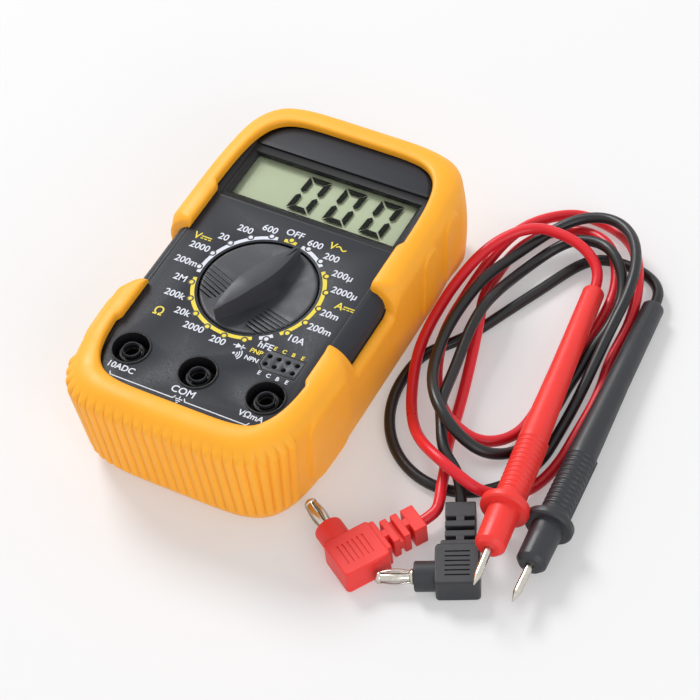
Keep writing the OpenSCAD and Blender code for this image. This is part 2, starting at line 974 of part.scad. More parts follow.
module plug_spring(place) {
    r = plug_pin_d / 2;
    inner = 0.72 * r + 0.03;
    z0 = 0.8;
    z1 = plug_pin_l - 1.5;
    slots = 4;
    slot_w = 0.5;
    color(metal_colour)
        difference() {
            on_contact(place)
                polygon([[inner, z0], [0.9 * r, z0], [r, (z0 + z1) / 2 - 1.5],
                    [r, (z0 + z1) / 2 + 1.5], [0.9 * r, z1], [inner, z1]]);
            at_plug(place)
                translate([-plug_half - collar_l - (z0 + z1) / 2, 0, plug_axis])
                    for (i = [0 : slots / 2 - 1])
                        rotate([45 + 90 * i, 0, 0])
                            cube([z1 - z0 - 2, 3 * r, slot_w], center = true);
        }
}

module red_plug_body() {
    color(red_colour)
        plug_body(red_plug);
}

module black_plug_body() {
    color(black_colour)
        plug_body(black_plug);
}

module red_plug_pin() {
    plug_pin(red_plug);
}

module black_plug_pin() {
    plug_pin(black_plug);
}

module red_plug_spring() {
    plug_spring(red_plug);
}

module black_plug_spring() {
    plug_spring(black_plug);
}

// Probes, turned about the line from tail to tip

module probe_handle(probe) {
    rings = 12;
    ring_pitch = 1.5;
    ring_depth = 0.3;
    grip_z = handle_l - 2 - rings * ring_pitch;
    nose_z = handle_l + flange_t + nose_l;
    nose_r = 4;
    grip = [for (i = [0 : rings - 1])
        let (z = grip_z + i * ring_pitch)
        each [[handle_r, z], [handle_r - ring_depth, z + 0.35],
            [handle_r - ring_depth, z + 0.75], [handle_r, z + 1.1]]];
    along(probe[0], probe[1])
        rotate_extrude()
            polygon(concat([[0, 0], [tail_r - 0.3, 0], [tail_r, 0.5], [tail_r + 0.2, grip_z / 2]], grip,
                [[handle_r, handle_l], [flange_r - 0.5, handle_l], [flange_r, handle_l + 0.5],
                [flange_r, handle_l + flange_t - 0.5], [flange_r - 0.5, handle_l + flange_t],
                [nose_r, handle_l + flange_t], [nose_r - 0.2, nose_z - 1.2],
                [nose_r - 1.2, nose_z], [tip_r + 0.03, nose_z], [tip_r + 0.03, nose_z - tip_seat],
                [0, nose_z - tip_seat]]));
}

module probe_tip(probe) {
    foot = handle_l + flange_t + nose_l - tip_seat;
    point = 3;
    color(metal_colour)
        along(probe[0], probe[1])
            rotate_extrude()
                polygon([[0, foot], [tip_r, foot], [tip_r, probe_l - point], [0.15, probe_l], [0, probe_l]]);
}

module red_probe_handle() {
    color(red_colour)
        probe_handle(red_probe);
}

module black_probe_handle() {
    color(black_colour)
        probe_handle(black_probe);
}

module red_probe_tip() {
    probe_tip(red_probe);
}

module black_probe_tip() {
    probe_tip(black_probe);
}

// Cables. Rows set the plan; each strand is then raised over the lower ranks that it meets.

function unit(v) = v / norm(v);

function heading(h) = [cos(h), sin(h)];

// Rows of one lead with its ends straight out of the plug and straight into the probe
function lead_rows(plug, route, probe) =
    let (exit = [plug.x, plug.y] + plug_exit * heading(plug.z))
    let (start = exit + end_straight * heading(plug.z))
    let (d = unit(probe[1] - probe[0]), h = atan2(d.y, d.x))
    let (tail = [probe[0].x, probe[0].y], finish = tail - end_straight * [d.x, d.y])
    let (first = route[0][3], last = route[len(route) - 1][3])
    concat([[exit.x, exit.y, plug.z, first], [start.x, start.y, plug.z, first]], route,
        [[finish.x, finish.y, h, last], [tail.x, tail.y, h, last]]);

function bezier(a, b, t) =
    let (p = [a[0], a[1]], q = [b[0], b[1]], c = q - p, l = norm(c))
    let (u = heading(a[2]), v = heading(b[2]), bow = 0.552)
    let (ku = min(max(bow * abs(c * u), 0.2 * l), bow * l))
    let (kv = min(max(bow * abs(c * v), 0.2 * l), bow * l))
    p * pow(1 - t, 3) + (p + ku * u) * 3 * pow(1 - t, 2) * t
        + (q - kv * v) * 3 * (1 - t) * t * t + q * pow(t, 3);

// Plan points with their rank
function plan(rows) = concat(
    [for (k = [0 : len(rows) - 2])
        let (a = rows[k], b = rows[k + 1])
        let (n = ceil(norm([b[0] - a[0], b[1] - a[1]]) / route_step))
        for (i = [0 : n - 1])
            let (p = bezier(a, b, i / n))
            [p.x, p.y, a[3]]],
    [let (e = rows[len(rows) - 1]) [e[0], e[1], e[3]]]);

function run_length(p, from) = [for (i = 0, s = from; i < len(p);
    s = i + 1 < len(p) ? s + norm([p[i + 1].x - p[i].x, p[i + 1].y - p[i].y]) : s, i = i + 1) s];

function hump(d) = abs(d) < strand_fall ? 0.5 + 0.5 * cos(180 * d / strand_fall) : 0;

// Lower strands that each point meets, with the rise that clears them
function contacts(p, s) = [for (i = [0 : len(p) - 1])
    [for (j = [0 : len(p) - 1])
        if (abs(p[i].x - p[j].x) < strand_pitch && abs(p[i].y - p[j].y) < strand_pitch
            && abs(s[i] - s[j]) > 3 * strand_pitch
            && (p[j].z < p[i].z || (p[j].z == p[i].z && s[j] < s[i])))
            let (d = norm([p[i].x - p[j].x, p[i].y - p[j].y]))
            if (d < strand_pitch)
                [j, sqrt(strand_pitch * strand_pitch - d * d)]]];

function raise(z, base, met, s, rounds) = rounds == 0 ? z :
    let (need = [for (i = [0 : len(z) - 1]) max([base[i], for (m = met[i]) z[m[0]] + m[1]])])
    let (reach = 12, n = len(z))
    raise([for (i = [0 : n - 1])
        max(base[i], max([for (k = [max(0, i - reach) : min(n - 1, i + reach)])
            cable_floor + (need[k] - cable_floor) * hump(s[i] - s[k])]))],
        base, met, s, rounds - 1);

function soften(z, times) = times == 0 ? z :
    let (n = len(z))
    soften([for (i = [0 : n - 1])
        i == 0 || i == n - 1 ? z[i] : (z[i - 1] + 2 * z[i] + z[i + 1]) / 4], times - 1);

function part_of(list, from, count) = [for (i = [from : from + count - 1]) list[i]];

// Points of both leads, evenly spaced along each
function lead_points() =
    let (red = plan(lead_rows(red_plug, red_route, red_probe)))
    let (black = plan(lead_rows(black_plug, black_route, black_probe)))
    let (apart = 10000, p = concat(red, black))
    let (s = concat(run_length(red, 0), run_length(black, apart)))
    let (n = len(red), m = len(black), ends = [s[0], s[n - 1], s[n], s[n + m - 1]])
    let (rise = [plug_axis, red_probe[0].z, plug_axis, black_probe[0].z])
    let (base = [for (i = [0 : n + m - 1])
        cable_floor + max([for (e = [0 : 3]) (rise[e] - cable_floor) * hump(s[i] - ends[e])])])
    let (z = raise(base, base, contacts(p, s), s, 8))
    [spaced(red, part_of(s, 0, n), soften(part_of(z, 0, n), 2)),
        spaced(black, part_of(s, n, m), soften(part_of(z, n, m), 2))];

function spaced(p, s, z) =
    let (n = len(s), steps = round((s[n - 1] - s[0]) / ring_step))
    let (xs = [for (i = [0 : n - 1]) [s[i], p[i].x]], ys = [for (i = [0 : n - 1]) [s[i], p[i].y]])
    let (zs = [for (i = [0 : n - 1]) [s[i], z[i]]])
    [for (i = [0 : steps])
        let (t = s[0] + (s[n - 1] - s[0]) * i / steps)
        [lookup(t, xs), lookup(t, ys), lookup(t, zs)]];

// Least clear distance between points of two runs, leaving out neighbours on the same run
function least_gap(p, q, skip) = min([for (i = [0 : len(p) - 1]) for (j = [0 : len(q) - 1])
    if (skip == 0 || abs(i - j) > skip) norm(p[i] - q[j])]) - cable_d;

function length_of(p) = len(p) < 2 ? 0
    : [for (i = 1, s = 0; i < len(p); s = s + norm(p[i] - p[i - 1]), i = i + 1) s][len(p) - 2]
        + norm(p[len(p) - 1] - p[len(p) - 2]);

// A round bar of several sides along a row of points
module tube(p, r, sides) {
    n = len(p);
    points = [for (i = [0 : n - 1])
        let (t = unit(p[min(n - 1, i + 1)] - p[max(0, i - 1)]))
        let (up = abs(t.z) > 0.9 ? [1, 0, 0] : [0, 0, 1])
        let (u = unit(cross(t, up)), v = cross(t, u))
        for (k = [0 : sides - 1])
            let (a = 360 * (k + 0.5) / sides)
            p[i] + r * (cos(a) * u + sin(a) * v)];
    skin = [for (i = [0 : n - 2]) for (k = [0 : sides - 1])
        let (a = i * sides + k, b = i * sides + (k + 1) % sides)
        each [[a, b, b + sides], [a, b + sides, a + sides]]];
    start = [for (k = [sides - 1 : -1 : 0]) k];
    finish = [for (k = [0 : sides - 1]) (n - 1) * sides + k];
    polyhedron(points = points, faces = concat([start], skin, [finish]));
}

module cable(i) {
    leads = lead_points();
    p = leads[i];
    echo(str("cable ", i, " length ", length_of(p), " gap to itself ", least_gap(p, p, 3),
        " gap to the other ", least_gap(p, leads[1 - i], 0)));
    tube(p, cable_d / 2, cable_sides);
}

module red_cable() {
    color(red_colour)
        cable(0);
}

module black_cable() {
    color(black_colour)
        cable(1);
}

holster();
front_case();
rear_case();
case_screws();
display_window();
lcd_glass();
lcd_holder();
zebra_strips();
circuit_board();
board_screws();
switch_tracks();
chip_blob();
resistors();
capacitors();
trimmer();
dial_knob();
contact_wipers();
detent_springs();
detent_balls();
input_socket_left();
input_socket_middle();
input_socket_right();
transistor_socket();
transistor_contacts();
fuse_tube();
fuse_caps();
fuse_clips();
shunt_wire();
buzzer_disc();
battery_body();
battery_terminals();
battery_snap();
battery_wires();
red_plug_body();
red_plug_pin();
red_plug_spring();
red_cable();
red_probe_handle();
red_probe_tip();
black_plug_body();
black_plug_pin();
black_plug_spring();
black_cable();
black_probe_handle();
black_probe_tip();
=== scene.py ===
import json
import math
from math import cos, pi, radians, sin

import bmesh
import bpy
import numpy as np
from mathutils import Matrix, Vector
from mathutils.geometry import delaunay_2d_cdt


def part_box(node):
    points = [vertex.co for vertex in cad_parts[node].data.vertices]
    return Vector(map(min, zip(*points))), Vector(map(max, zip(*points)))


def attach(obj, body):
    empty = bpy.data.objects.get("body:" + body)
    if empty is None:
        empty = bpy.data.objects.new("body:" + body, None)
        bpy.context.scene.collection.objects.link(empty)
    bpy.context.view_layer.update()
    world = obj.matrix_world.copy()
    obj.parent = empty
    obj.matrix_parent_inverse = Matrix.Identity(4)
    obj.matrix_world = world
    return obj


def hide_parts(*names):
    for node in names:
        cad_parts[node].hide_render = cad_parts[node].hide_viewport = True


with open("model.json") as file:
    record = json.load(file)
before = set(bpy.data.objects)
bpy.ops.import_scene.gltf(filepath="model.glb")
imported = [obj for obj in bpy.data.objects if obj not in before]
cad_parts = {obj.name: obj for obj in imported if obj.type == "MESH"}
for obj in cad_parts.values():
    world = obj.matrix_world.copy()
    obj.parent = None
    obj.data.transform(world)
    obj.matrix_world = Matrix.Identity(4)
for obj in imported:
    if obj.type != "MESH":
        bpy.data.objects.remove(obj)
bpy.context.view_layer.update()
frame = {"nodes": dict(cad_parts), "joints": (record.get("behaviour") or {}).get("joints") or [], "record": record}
nodes = frame["nodes"]
MM = 0.001

# Places in millimetres, read from the frame
DIAL_X, DIAL_Y = (v / MM for v in frame["joints"][0]["pos_m"][:2])
BORES = [mount for mount in frame["record"]["mounts"] if mount["kind"] == "bore"]
SOCKETS = [tuple(v / MM for v in bore["pos_m"][:2]) for bore in BORES]

SQUARE = ((-1, -1), (1, -1), (1, 1), (-1, 1))
UP = np.array((0, 0, 1))


def box_mm(node):
    """Lowest and highest corner of a frame node in millimetres."""
    low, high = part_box(node)
    return np.array(low) / MM, np.array(high) / MM


def add_object(name, data):
    made = bpy.data.objects.new(name, data)
    bpy.context.collection.objects.link(made)
    return made


def heading(degrees):
    return np.array((cos(radians(degrees)), sin(radians(degrees))))


def radians_between(start, end, count):
    return np.radians(np.linspace(start, end, count))


def unit(vector):
    return vector / np.linalg.norm(vector)


def smooth_step(value, start, end):
    t = np.clip((value - start) / (end - start), 0, 1)
    return t * t * (3 - 2 * t)


def run_length(points):
    """How far along a line of points each of them is."""
    return np.concatenate(([0], np.cumsum(np.linalg.norm(np.diff(points, axis=0), axis=1))))


def points_at(places, far, points):
    """Points in plan at places along a line."""
    return np.stack([np.interp(places, far, points[:, k]) for k in (0, 1)], 1)


# Camera

CAMERA_PLACE = (248.74, -338.57, 492.87)
CAMERA_AIM = (16.85, 6.33, 0.0)
CAMERA_ROLL = -7.474
CAMERA_LENS = 128.47
CAMERA_NEAR = 10


def make_camera():
    data = bpy.data.cameras.new("camera")
    data.lens = CAMERA_LENS
    data.clip_start = CAMERA_NEAR * MM
    camera = add_object("camera", data)
    place = Vector(CAMERA_PLACE) * MM
    forward = (Vector(CAMERA_AIM) * MM - place).normalized()
    level = forward.cross(Vector(UP)).normalized()
    upright = level.cross(forward)
    roll = radians(CAMERA_ROLL)
    right = level * cos(roll) + upright * sin(roll)
    up = upright * cos(roll) - level * sin(roll)
    turn = Matrix((right, up, -forward)).transposed()
    camera.matrix_world = Matrix.Translation(place) @ turn.to_4x4()
    bpy.context.scene.camera = camera


# Materials

# Most of a noise lies between these
NOISE_LOW, NOISE_HIGH = 0.3, 0.7
# How far the roughness of plastic and of metal varies
PLASTIC_SPREAD = 0.07
METAL_SPREAD = 0.08
# Half width past which the case's side walls get a painted highlight, and how far off its level the panel's face
# still is
CASE_SIDE = 25.6
PANEL_SLACK = 0.02


def srgb(red, green, blue):
    """A screen colour of 0 to 255 as a linear shader colour."""
    parts = [v / 255 for v in (red, green, blue)]
    return [v / 12.92 if v <= 0.04045 else ((v + 0.055) / 1.055) ** 2.4 for v in parts] + [1.0]


def shade(colour, factor):
    return [min(1.0, v * factor) for v in colour[:3]] + [1.0]


class Net:
    """A node tree with short ways to add and feed nodes."""

    def __init__(self, tree):
        self.tree = tree

    def feed(self, socket, value):
        """Give a socket a link or a plain value."""
        if isinstance(value, bpy.types.NodeSocket):
            self.tree.links.new(value, socket)
        else:
            socket.default_value = value

    def add(self, kind, **values):
        """A node whose inputs, named with _ for each space, are fed."""
        node = self.tree.nodes.new(kind)
        for key, value in values.items():
            self.feed(node.inputs[key.replace("_", " ")], value)
        return node

    def maths(self, operation, *values):
        node = self.tree.nodes.new("ShaderNodeMath")
        node.operation = operation
        for socket, value in zip(node.inputs, values):
            self.feed(socket, value)
        return node.outputs[0]


class Shader(Net):
    """A material's node tree."""

    def __init__(self, name):
        self.material = bpy.data.materials.new(name)
        self.material.use_nodes = True
        super().__init__(self.material.node_tree)
        self.bsdf = self.tree.nodes["Principled BSDF"]
        self.where = self.add("ShaderNodeTexCoord").outputs["Object"]

    def surface(self, **values):
        """Feed the surface's inputs, named with _ for each space."""
        for key, value in values.items():
            self.feed(self.bsdf.inputs[key.replace("_", " ")], value)

    def noise(self, scale, detail=3.0):
        node = self.add("ShaderNodeTexNoise", Vector=self.where, Scale=scale, Detail=detail)
        return node.outputs["Fac"]

    def between(self, value, low, high):
        """A noise value carried from its usual range to low..high."""
        node = self.add("ShaderNodeMapRange", Value=value, From_Min=NOISE_LOW, From_Max=NOISE_HIGH,
                        To_Min=low, To_Max=high)
        return node.outputs["Result"]

    def blend(self, value, first, second):
        """Two colours mixed by a value."""
        node = self.tree.nodes.new("ShaderNodeMix")
        node.data_type = "RGBA"
        for socket, given in ((0, value), (6, first), (7, second)):
            self.feed(node.inputs[socket], given)
        return node.outputs[2]

    def bump(self, height, strength, distance):
        node = self.add("ShaderNodeBump", Height=height, Strength=strength, Distance=distance * MM)
        self.surface(Normal=node.outputs["Normal"])


def moulded(name, colour, rough, grain=3200, depth=0.25, mottle=0.06, gloss=0.4):
    """Moulded plastic or rubber with a fine grain, uneven gloss and a slightly uneven colour."""
    shader = Shader(name)
    cloud = shader.between(shader.noise(70), 0, 1)
    patchy = shader.between(shader.noise(240, 4.0), rough - PLASTIC_SPREAD, rough + PLASTIC_SPREAD)
    tint = shader.blend(cloud, shade(colour, 1 - mottle), shade(colour, 1 + mottle))
    shader.surface(Base_Color=tint, Roughness=patchy, Specular_IOR_Level=gloss)
    shader.bump(shader.noise(grain, 2.0), depth, 0.06)
    return shader.material


def metal(name, colour, rough):
    """Plated metal with fine rubbing marks."""
    shader = Shader(name)
    marks = shader.noise(900, 5.0)
    tint = shader.blend(shader.between(marks, 0, 1), shade(colour, 0.86), shade(colour, 1.05))
    rubbed = shader.between(marks, rough - METAL_SPREAD, rough + METAL_SPREAD)
    shader.surface(Base_Color=tint, Roughness=rubbed, Metallic=1.0)
    shader.bump(marks, 0.15, 0.02)
    return shader.material


def case_material(name, face, well, level):
    """Grey printed panel face, side walls in a paler grey that is a painted highlight, and black plastic
    everywhere else.
    """
    shader = Shader(name)
    place = shader.add("ShaderNodeSeparateXYZ", Vector=shader.where).outputs
    on_panel = shader.maths("COMPARE", place["Z"], level * MM, PANEL_SLACK * MM)
    painted_sheen_side = shader.maths("GREATER_THAN", shader.maths("ABSOLUTE", place["X"]), CASE_SIDE * MM)
    speck = shader.noise(2600, 3.0)
    grey = shader.blend(shader.between(shader.noise(90), 0, 1), shade(face, 0.96), shade(face, 1.04))
    flecked = shader.blend(shader.between(speck, 0, 0.35), grey, shade(face, 1.5))
    # Painted highlight: side walls off the panel's level get a paler grey instead of the black of the wells
    wall = shader.blend(painted_sheen_side, well, shade(face, 1.3))
    shader.surface(Base_Color=shader.blend(on_panel, wall, flecked),
                   Roughness=shader.between(speck, 0.4, 0.58), Specular_IOR_Level=0.2)
    shader.bump(speck, 0.3, 0.05)
    return shader.material


def clear_material(name, tint, gloss):
    """Clear plastic that lets the light through and mirrors a little, with faint wiping marks."""
    shader = Shader(name)
    marks = shader.noise(120, 4.0)
    shader.surface(Base_Color=shader.blend(marks, tint, shade(tint, 0.97)),
                   Roughness=shader.between(marks, 0.08, 0.2), Metallic=1.0)
    through = shader.add("ShaderNodeBsdfTransparent", Color=tint)
    edge = shader.add("ShaderNodeFresnel", IOR=1.3)
    both = shader.tree.nodes.new("ShaderNodeMixShader")
    share = shader.maths("MULTIPLY", edge.outputs[0], gloss)
    for socket, part in zip(both.inputs, (share, through.outputs[0], shader.bsdf.outputs[0])):
        shader.feed(socket, part)
    shader.feed(shader.tree.nodes["Material Output"].inputs["Surface"], both.outputs[0])
    return shader.material


def floor_material(name, colour, glow):
    """Pale floor that glows a little, so that its shadows stay light."""
    shader = Shader(name)
    tint = shader.blend(shader.noise(3, 2.0), shade(colour, 0.99), colour)
    shader.surface(Base_Color=tint, Roughness=0.7, Specular_IOR_Level=0.1,
                   Emission_Color=(1, 1, 1, 1), Emission_Strength=glow)
    return shader.material


PANEL_Z = 29.1
ORANGE = srgb(252, 172, 34)
PANEL_GREY = srgb(42, 44, 50)
BLACK = srgb(20, 20, 23)
RED = srgb(234, 54, 49)

rubber = moulded("orange_rubber", ORANGE, 0.5, grain=2600, depth=0.16, mottle=0.03, gloss=0.45)
panel_plastic = case_material("panel_plastic", PANEL_GREY, BLACK, PANEL_Z)
# Paler than the other black plastic: a painted sheen for the knob's upward faces, which catch the lamp
dial_plastic = moulded("dial_plastic", srgb(56, 57, 62), 0.46, grain=3600, gloss=0.35)
black_plastic = moulded("black_plastic", BLACK, 0.5)
socket_plastic = moulded("socket_plastic", PANEL_GREY, 0.48, grain=2600)
red_plastic = moulded("red_plastic", RED, 0.42, grain=1800, depth=0.2, mottle=0.03)
red_sheath = moulded("red_sheath", srgb(218, 30, 44), 0.34, grain=500, depth=0.04, mottle=0.03)
black_lead = moulded("black_lead_plastic", srgb(45, 46, 50), 0.42, grain=1800, depth=0.2)
black_sheath = moulded("black_sheath", srgb(26, 27, 30), 0.36, grain=500, depth=0.04)
nickel = metal("nickel_plate", srgb(205, 200, 190), 0.2)
# Dark plating: painted shade for the metal deep in the socket wells, where it would otherwise glint
socket_metal = metal("socket_metal", srgb(78, 76, 72), 0.5)
steel = metal("screw_steel", srgb(170, 170, 170), 0.35)
copper = metal("copper_alloy", srgb(210, 150, 95), 0.3)
lcd_grey = moulded("lcd_reflector", srgb(181, 186, 160), 0.5, grain=5000, depth=0.05, mottle=0.025)
segment_black = moulded("lcd_segment", srgb(30, 32, 30), 0.6, grain=5000, depth=0.03, gloss=0.05)
window_clear = clear_material("window_clear", srgb(250, 252, 250), 0.03)
glass_clear = clear_material("fuse_glass", srgb(236, 242, 240), 1.0)
white_ink = moulded("white_ink", srgb(212, 216, 226), 0.5, grain=4000, depth=0.1, mottle=0.03)
yellow_ink = moulded("yellow_ink", srgb(226, 204, 48), 0.5, grain=4000, depth=0.1, mottle=0.04)
line_black = moulded("line_black", srgb(12, 12, 13), 0.45, grain=4000, depth=0.1)
board_green = moulded("board_green", srgb(40, 110, 70), 0.4, grain=1500, depth=0.1, mottle=0.12)
zebra_pink = moulded("zebra_rubber", srgb(220, 160, 168), 0.7)
resistor_beige = moulded("resistor_beige", srgb(205, 180, 130), 0.4)
component_blue = moulded("component_blue", srgb(50, 85, 150), 0.35)
battery_jacket = moulded("battery_jacket", srgb(70, 80, 120), 0.35, grain=800, depth=0.05)
wire_red = moulded("wire_cover", srgb(150, 40, 40), 0.4)

NODE_MATERIALS = {
    panel_plastic: ["front_case"],
    black_plastic: ["rear_case", "lcd_holder", "battery_snap", "chip_blob"],
    socket_plastic: ["transistor_socket"],
    dial_plastic: ["dial_knob"],
    red_plastic: ["red_probe_handle"],
    black_lead: ["black_probe_handle"],
    socket_metal: ["input_socket_left", "input_socket_middle", "input_socket_right"],
    nickel: ["transistor_contacts", "fuse_caps", "fuse_clips", "battery_terminals",
             "red_probe_tip", "black_probe_tip"],
    steel: ["case_screws", "board_screws", "detent_springs", "detent_balls"],
    copper: ["switch_tracks", "contact_wipers", "shunt_wire", "buzzer_disc"],
    lcd_grey: ["lcd_glass"],
    glass_clear: ["fuse_tube"],
    board_green: ["circuit_board"],
    zebra_pink: ["zebra_strips"],
    resistor_beige: ["resistors"],
    component_blue: ["capacitors", "trimmer"],
    battery_jacket: ["battery_body"],
    wire_red: ["battery_wires"],
}

# Edges of frame nodes are eased by this many millimetres
EASED = {
    "front_case": 0.15, "dial_knob": 0.22, "transistor_socket": 0.1,
    "red_probe_handle": 0.12, "black_probe_handle": 0.12,
}
SHARP_ANGLE = 38
FLAT_ANGLE = 1
WELD_GAP = 0.002


def angle_shading():
    """Node group that shades a frame node smooth, apart from its sharp edges."""
    group = bpy.data.node_groups.new("angle_shading", "GeometryNodeTree")
    for way in ("INPUT", "OUTPUT"):
        group.interface.new_socket("Geometry", in_out=way, socket_type="NodeSocketGeometry")
    net = Net(group)
    source = net.add("NodeGroupInput")
    bare = net.add("GeometryNodeRemoveAttribute", Geometry=source.outputs[0], Name="custom_normal")
    angle = net.add("GeometryNodeInputMeshEdgeAngle")
    sharp = net.add("FunctionNodeCompare", A=angle.outputs["Unsigned Angle"], B=radians(SHARP_ANGLE))
    sharp.operation = "GREATER_THAN"
    faces = net.add("GeometryNodeSetShadeSmooth", Geometry=bare.outputs[0])
    faces.domain = "FACE"
    edges = net.add("GeometryNodeSetShadeSmooth", Geometry=faces.outputs[0], Selection=sharp.outputs[0],
                    Shade_Smooth=False)
    edges.domain = "EDGE"
    net.add("NodeGroupOutput", Geometry=edges.outputs[0])
    return group


def ease_edges(node, width):
    """Join a frame node's flat faces and bevel its sharp edges."""
    flat = node.modifiers.new("flat", "DECIMATE")
    flat.decimate_type = "DISSOLVE"
    flat.angle_limit = radians(FLAT_ANGLE)
    ease = node.modifiers.new("ease", "BEVEL")
    ease.width = width * MM
    ease.segments = 2
    ease.limit_method = "ANGLE"
    ease.angle_limit = radians(SHARP_ANGLE)
    ease.use_clamp_overlap = True


def dress_nodes():
    group = angle_shading()
    for finish, names in NODE_MATERIALS.items():
        for name in names:
            node = nodes[name]
            node.data.materials.clear()
            node.data.materials.append(finish)
            weld = node.modifiers.new("weld", "WELD")
            weld.merge_threshold = WELD_GAP * MM
            if name in EASED:
                ease_edges(node, EASED[name])
            node.modifiers.new("smooth", "NODES").node_group = group


# Mesh helpers, in millimetres

LEAST_CORNER = 0.05


def new_piece(name, vertices, faces, finish, slot, body="meter"):
    """A mesh piece that rides on a body."""
    mesh = bpy.data.meshes.new(name)
    mesh.from_pydata([tuple(float(v) * MM for v in p) for p in vertices], [], faces)
    tidy = bmesh.new()
    tidy.from_mesh(mesh)
    bmesh.ops.recalc_face_normals(tidy, faces=tidy.faces)
    tidy.to_mesh(mesh)
    tidy.free()
    mesh.materials.append(finish)
    piece = add_object(name, mesh)
    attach(piece, body)
    return piece


def smooth_sides(piece):
    """Shade a piece's four-cornered faces smooth and leave its end faces flat."""
    for polygon in piece.data.polygons:
        polygon.use_smooth = len(polygon.vertices) == 4


def rounded(box, corner, inset=0.0, steps=6):
    """A rectangle with round corners, anticlockwise."""
    x0, x1, y0, y1 = box
    r = max(corner - inset, LEAST_CORNER)
    points = []
    for x, y, start in ((x1, y1, 0), (x0, y1, 90), (x0, y0, 180), (x1, y0, 270)):
        cx = x - math.copysign(inset + r, x - (x0 + x1) / 2)
        cy = y - math.copysign(inset + r, y - (y0 + y1) / 2)
        points += [(cx + r * cos(a), cy + r * sin(a)) for a in radians_between(start, start + 90, steps)]
    return points


def square_ring(middle, half, z):
    return [(middle[0] + x * half[0], middle[1] + y * half[1], z) for x, y in SQUARE]


class Shells:
    """Shells gathered into one mesh."""

    def __init__(self):
        self.vertices = []
        self.faces = []

    def loft(self, rings, lid=True, looped=False):
        """A skin over rings of as many points: looped, or closed at its start and, with a lid, its end."""
        base, n, rows = len(self.vertices), len(rings[0]), len(rings)
        self.vertices += [tuple(p) for ring in rings for p in ring]
        for k in range(rows if looped else rows - 1):
            a, b = base + k * n, base + (k + 1) % rows * n
            self.faces += [[a + i, a + (i + 1) % n, b + (i + 1) % n, b + i] for i in range(n)]
        if not looped:
            self.faces.append([base + i for i in reversed(range(n))])
        if lid and not looped:
            self.faces.append([base + (rows - 1) * n + i for i in range(n)])

    def block(self, box, low, high, corner=0.5, ease=0.3, lid=True):
        """A box with round corners and eased edges."""
        part = 0.3 * ease
        rows = ((ease, low), (0, low + ease), (0, high - ease), (part, high - part), (ease, high))
        self.loft([[(x, y, z) for x, y in rounded(box, corner, inset)] for inset, z in rows], lid)

    def grooved_lid(self, outline, grooves, z, depth):
        """A flat lid inside an outline, with straight grooves sunk into it."""
        corners = list(outline)
        loops = [list(range(len(outline)))]
        rims = [[(x0, y0), (x1, y0), (x1, y1), (x0, y1)] for x0, x1, y0, y1 in grooves]
        for rim in rims:
            loops.append([len(corners) + i for i in range(4)])
            corners += rim
        points, _, faces, *_ = delaunay_2d_cdt([Vector(p) for p in corners], [], loops, 1, 1e-6)
        base = len(self.vertices)
        self.vertices += [(p.x, p.y, z) for p in points]
        for face in faces:
            x, y = (sum(points[i][k] for i in face) / len(face) for k in (0, 1))
            if not any(x0 < x < x1 and y0 < y < y1 for x0, x1, y0, y1 in grooves):
                self.faces.append([base + i for i in face])
        for rim in rims:
            self.loft([[(x, y, level) for x, y in rim] for level in (z - depth, z)], lid=False)

    def turned(self, start, along, rows, count=40):
        """A turned shape: rows of distance along a line and radius."""
        along = np.array(along, float)
        side = np.cross(along, UP)
        up = np.cross(side, along)
        angles = np.linspace(0, 2 * pi, count, endpoint=False)
        spokes = [side * cos(a) + up * sin(a) for a in angles]
        self.loft([[np.array(start) + along * far + r * spoke for spoke in spokes] for far, r in rows])

    def piece(self, name, finish, slot, body="meter"):
        return new_piece(name, self.vertices, self.faces, finish, slot, body)


class Sheet(Shells):
    """Flat shapes of one thickness gathered into one mesh."""

    def __init__(self, z, thickness):
        super().__init__()
        self.levels = (z, z + thickness)

    def prism(self, outline):
        """A closed plate over an outline that runs anticlockwise."""
        self.loft([[(x, y, z) for x, y in outline] for z in self.levels])

    def ribbon(self, points, width, closed=False):
        """A line of one width through points, mitred at its corners."""
        p = np.array(points, float)
        step = np.roll(p, -1, 0) - p
        if not closed:
            step[-1] = step[-2]
        step /= np.linalg.norm(step, axis=1)[:, None]
        back = np.roll(step, 1, 0)
        if not closed:
            back[0] = step[0]
        both = step + back
        side = np.stack((-both[:, 1], both[:, 0]), 1)
        side /= (np.linalg.norm(side, axis=1) * np.linalg.norm(both, axis=1) / 2)[:, None]
        low, high = self.levels
        rings = [[(*(a - b), low), (*(a + b), low), (*(a + b), high), (*(a - b), high)]
                 for a, b in zip(p, side * width / 2)]
        self.loft(rings, looped=closed)

    def dash(self, x0, y0, x1, y1, width):
        self.ribbon([(x0, y0), (x1, y1)], width)

    def disc(self, x, y, r, count=24):
        angles = np.linspace(0, 2 * pi, count, endpoint=False)
        self.prism([(x + r * cos(a), y + r * sin(a)) for a in angles])

    def take(self, mesh, x, y):
        """A ready mesh in metres, moved to x and y."""
        base = len(self.vertices)
        low = min(v.co.z for v in mesh.vertices)
        self.vertices += [(v.co.x / MM + x, v.co.y / MM + y, self.levels[0] + (v.co.z - low) / MM)
                          for v in mesh.vertices]
        self.faces += [[base + i for i in f.vertices] for f in mesh.polygons]


# Leads, with the rows of the solids: x, y, heading and rank in millimetres

CABLE_D = 2.9
CABLE_FLOOR = 1.5
HANDLE_L = 74
HANDLE_R = (2.9, 3.75)
HANDLE_CLEAR = 0.05
STRAND_PITCH = 4
STRAND_FALL = 16
END_STRAIGHT = 2
ROUTE_STEP = 2.5
ROUTE_BOW = 0.552
ROUTE_PULL = 0.2
LIFT_ROUNDS = 8
SETTLE_ROUNDS = 60
SETTLE_STEPS = 60
SAG = 0.0025
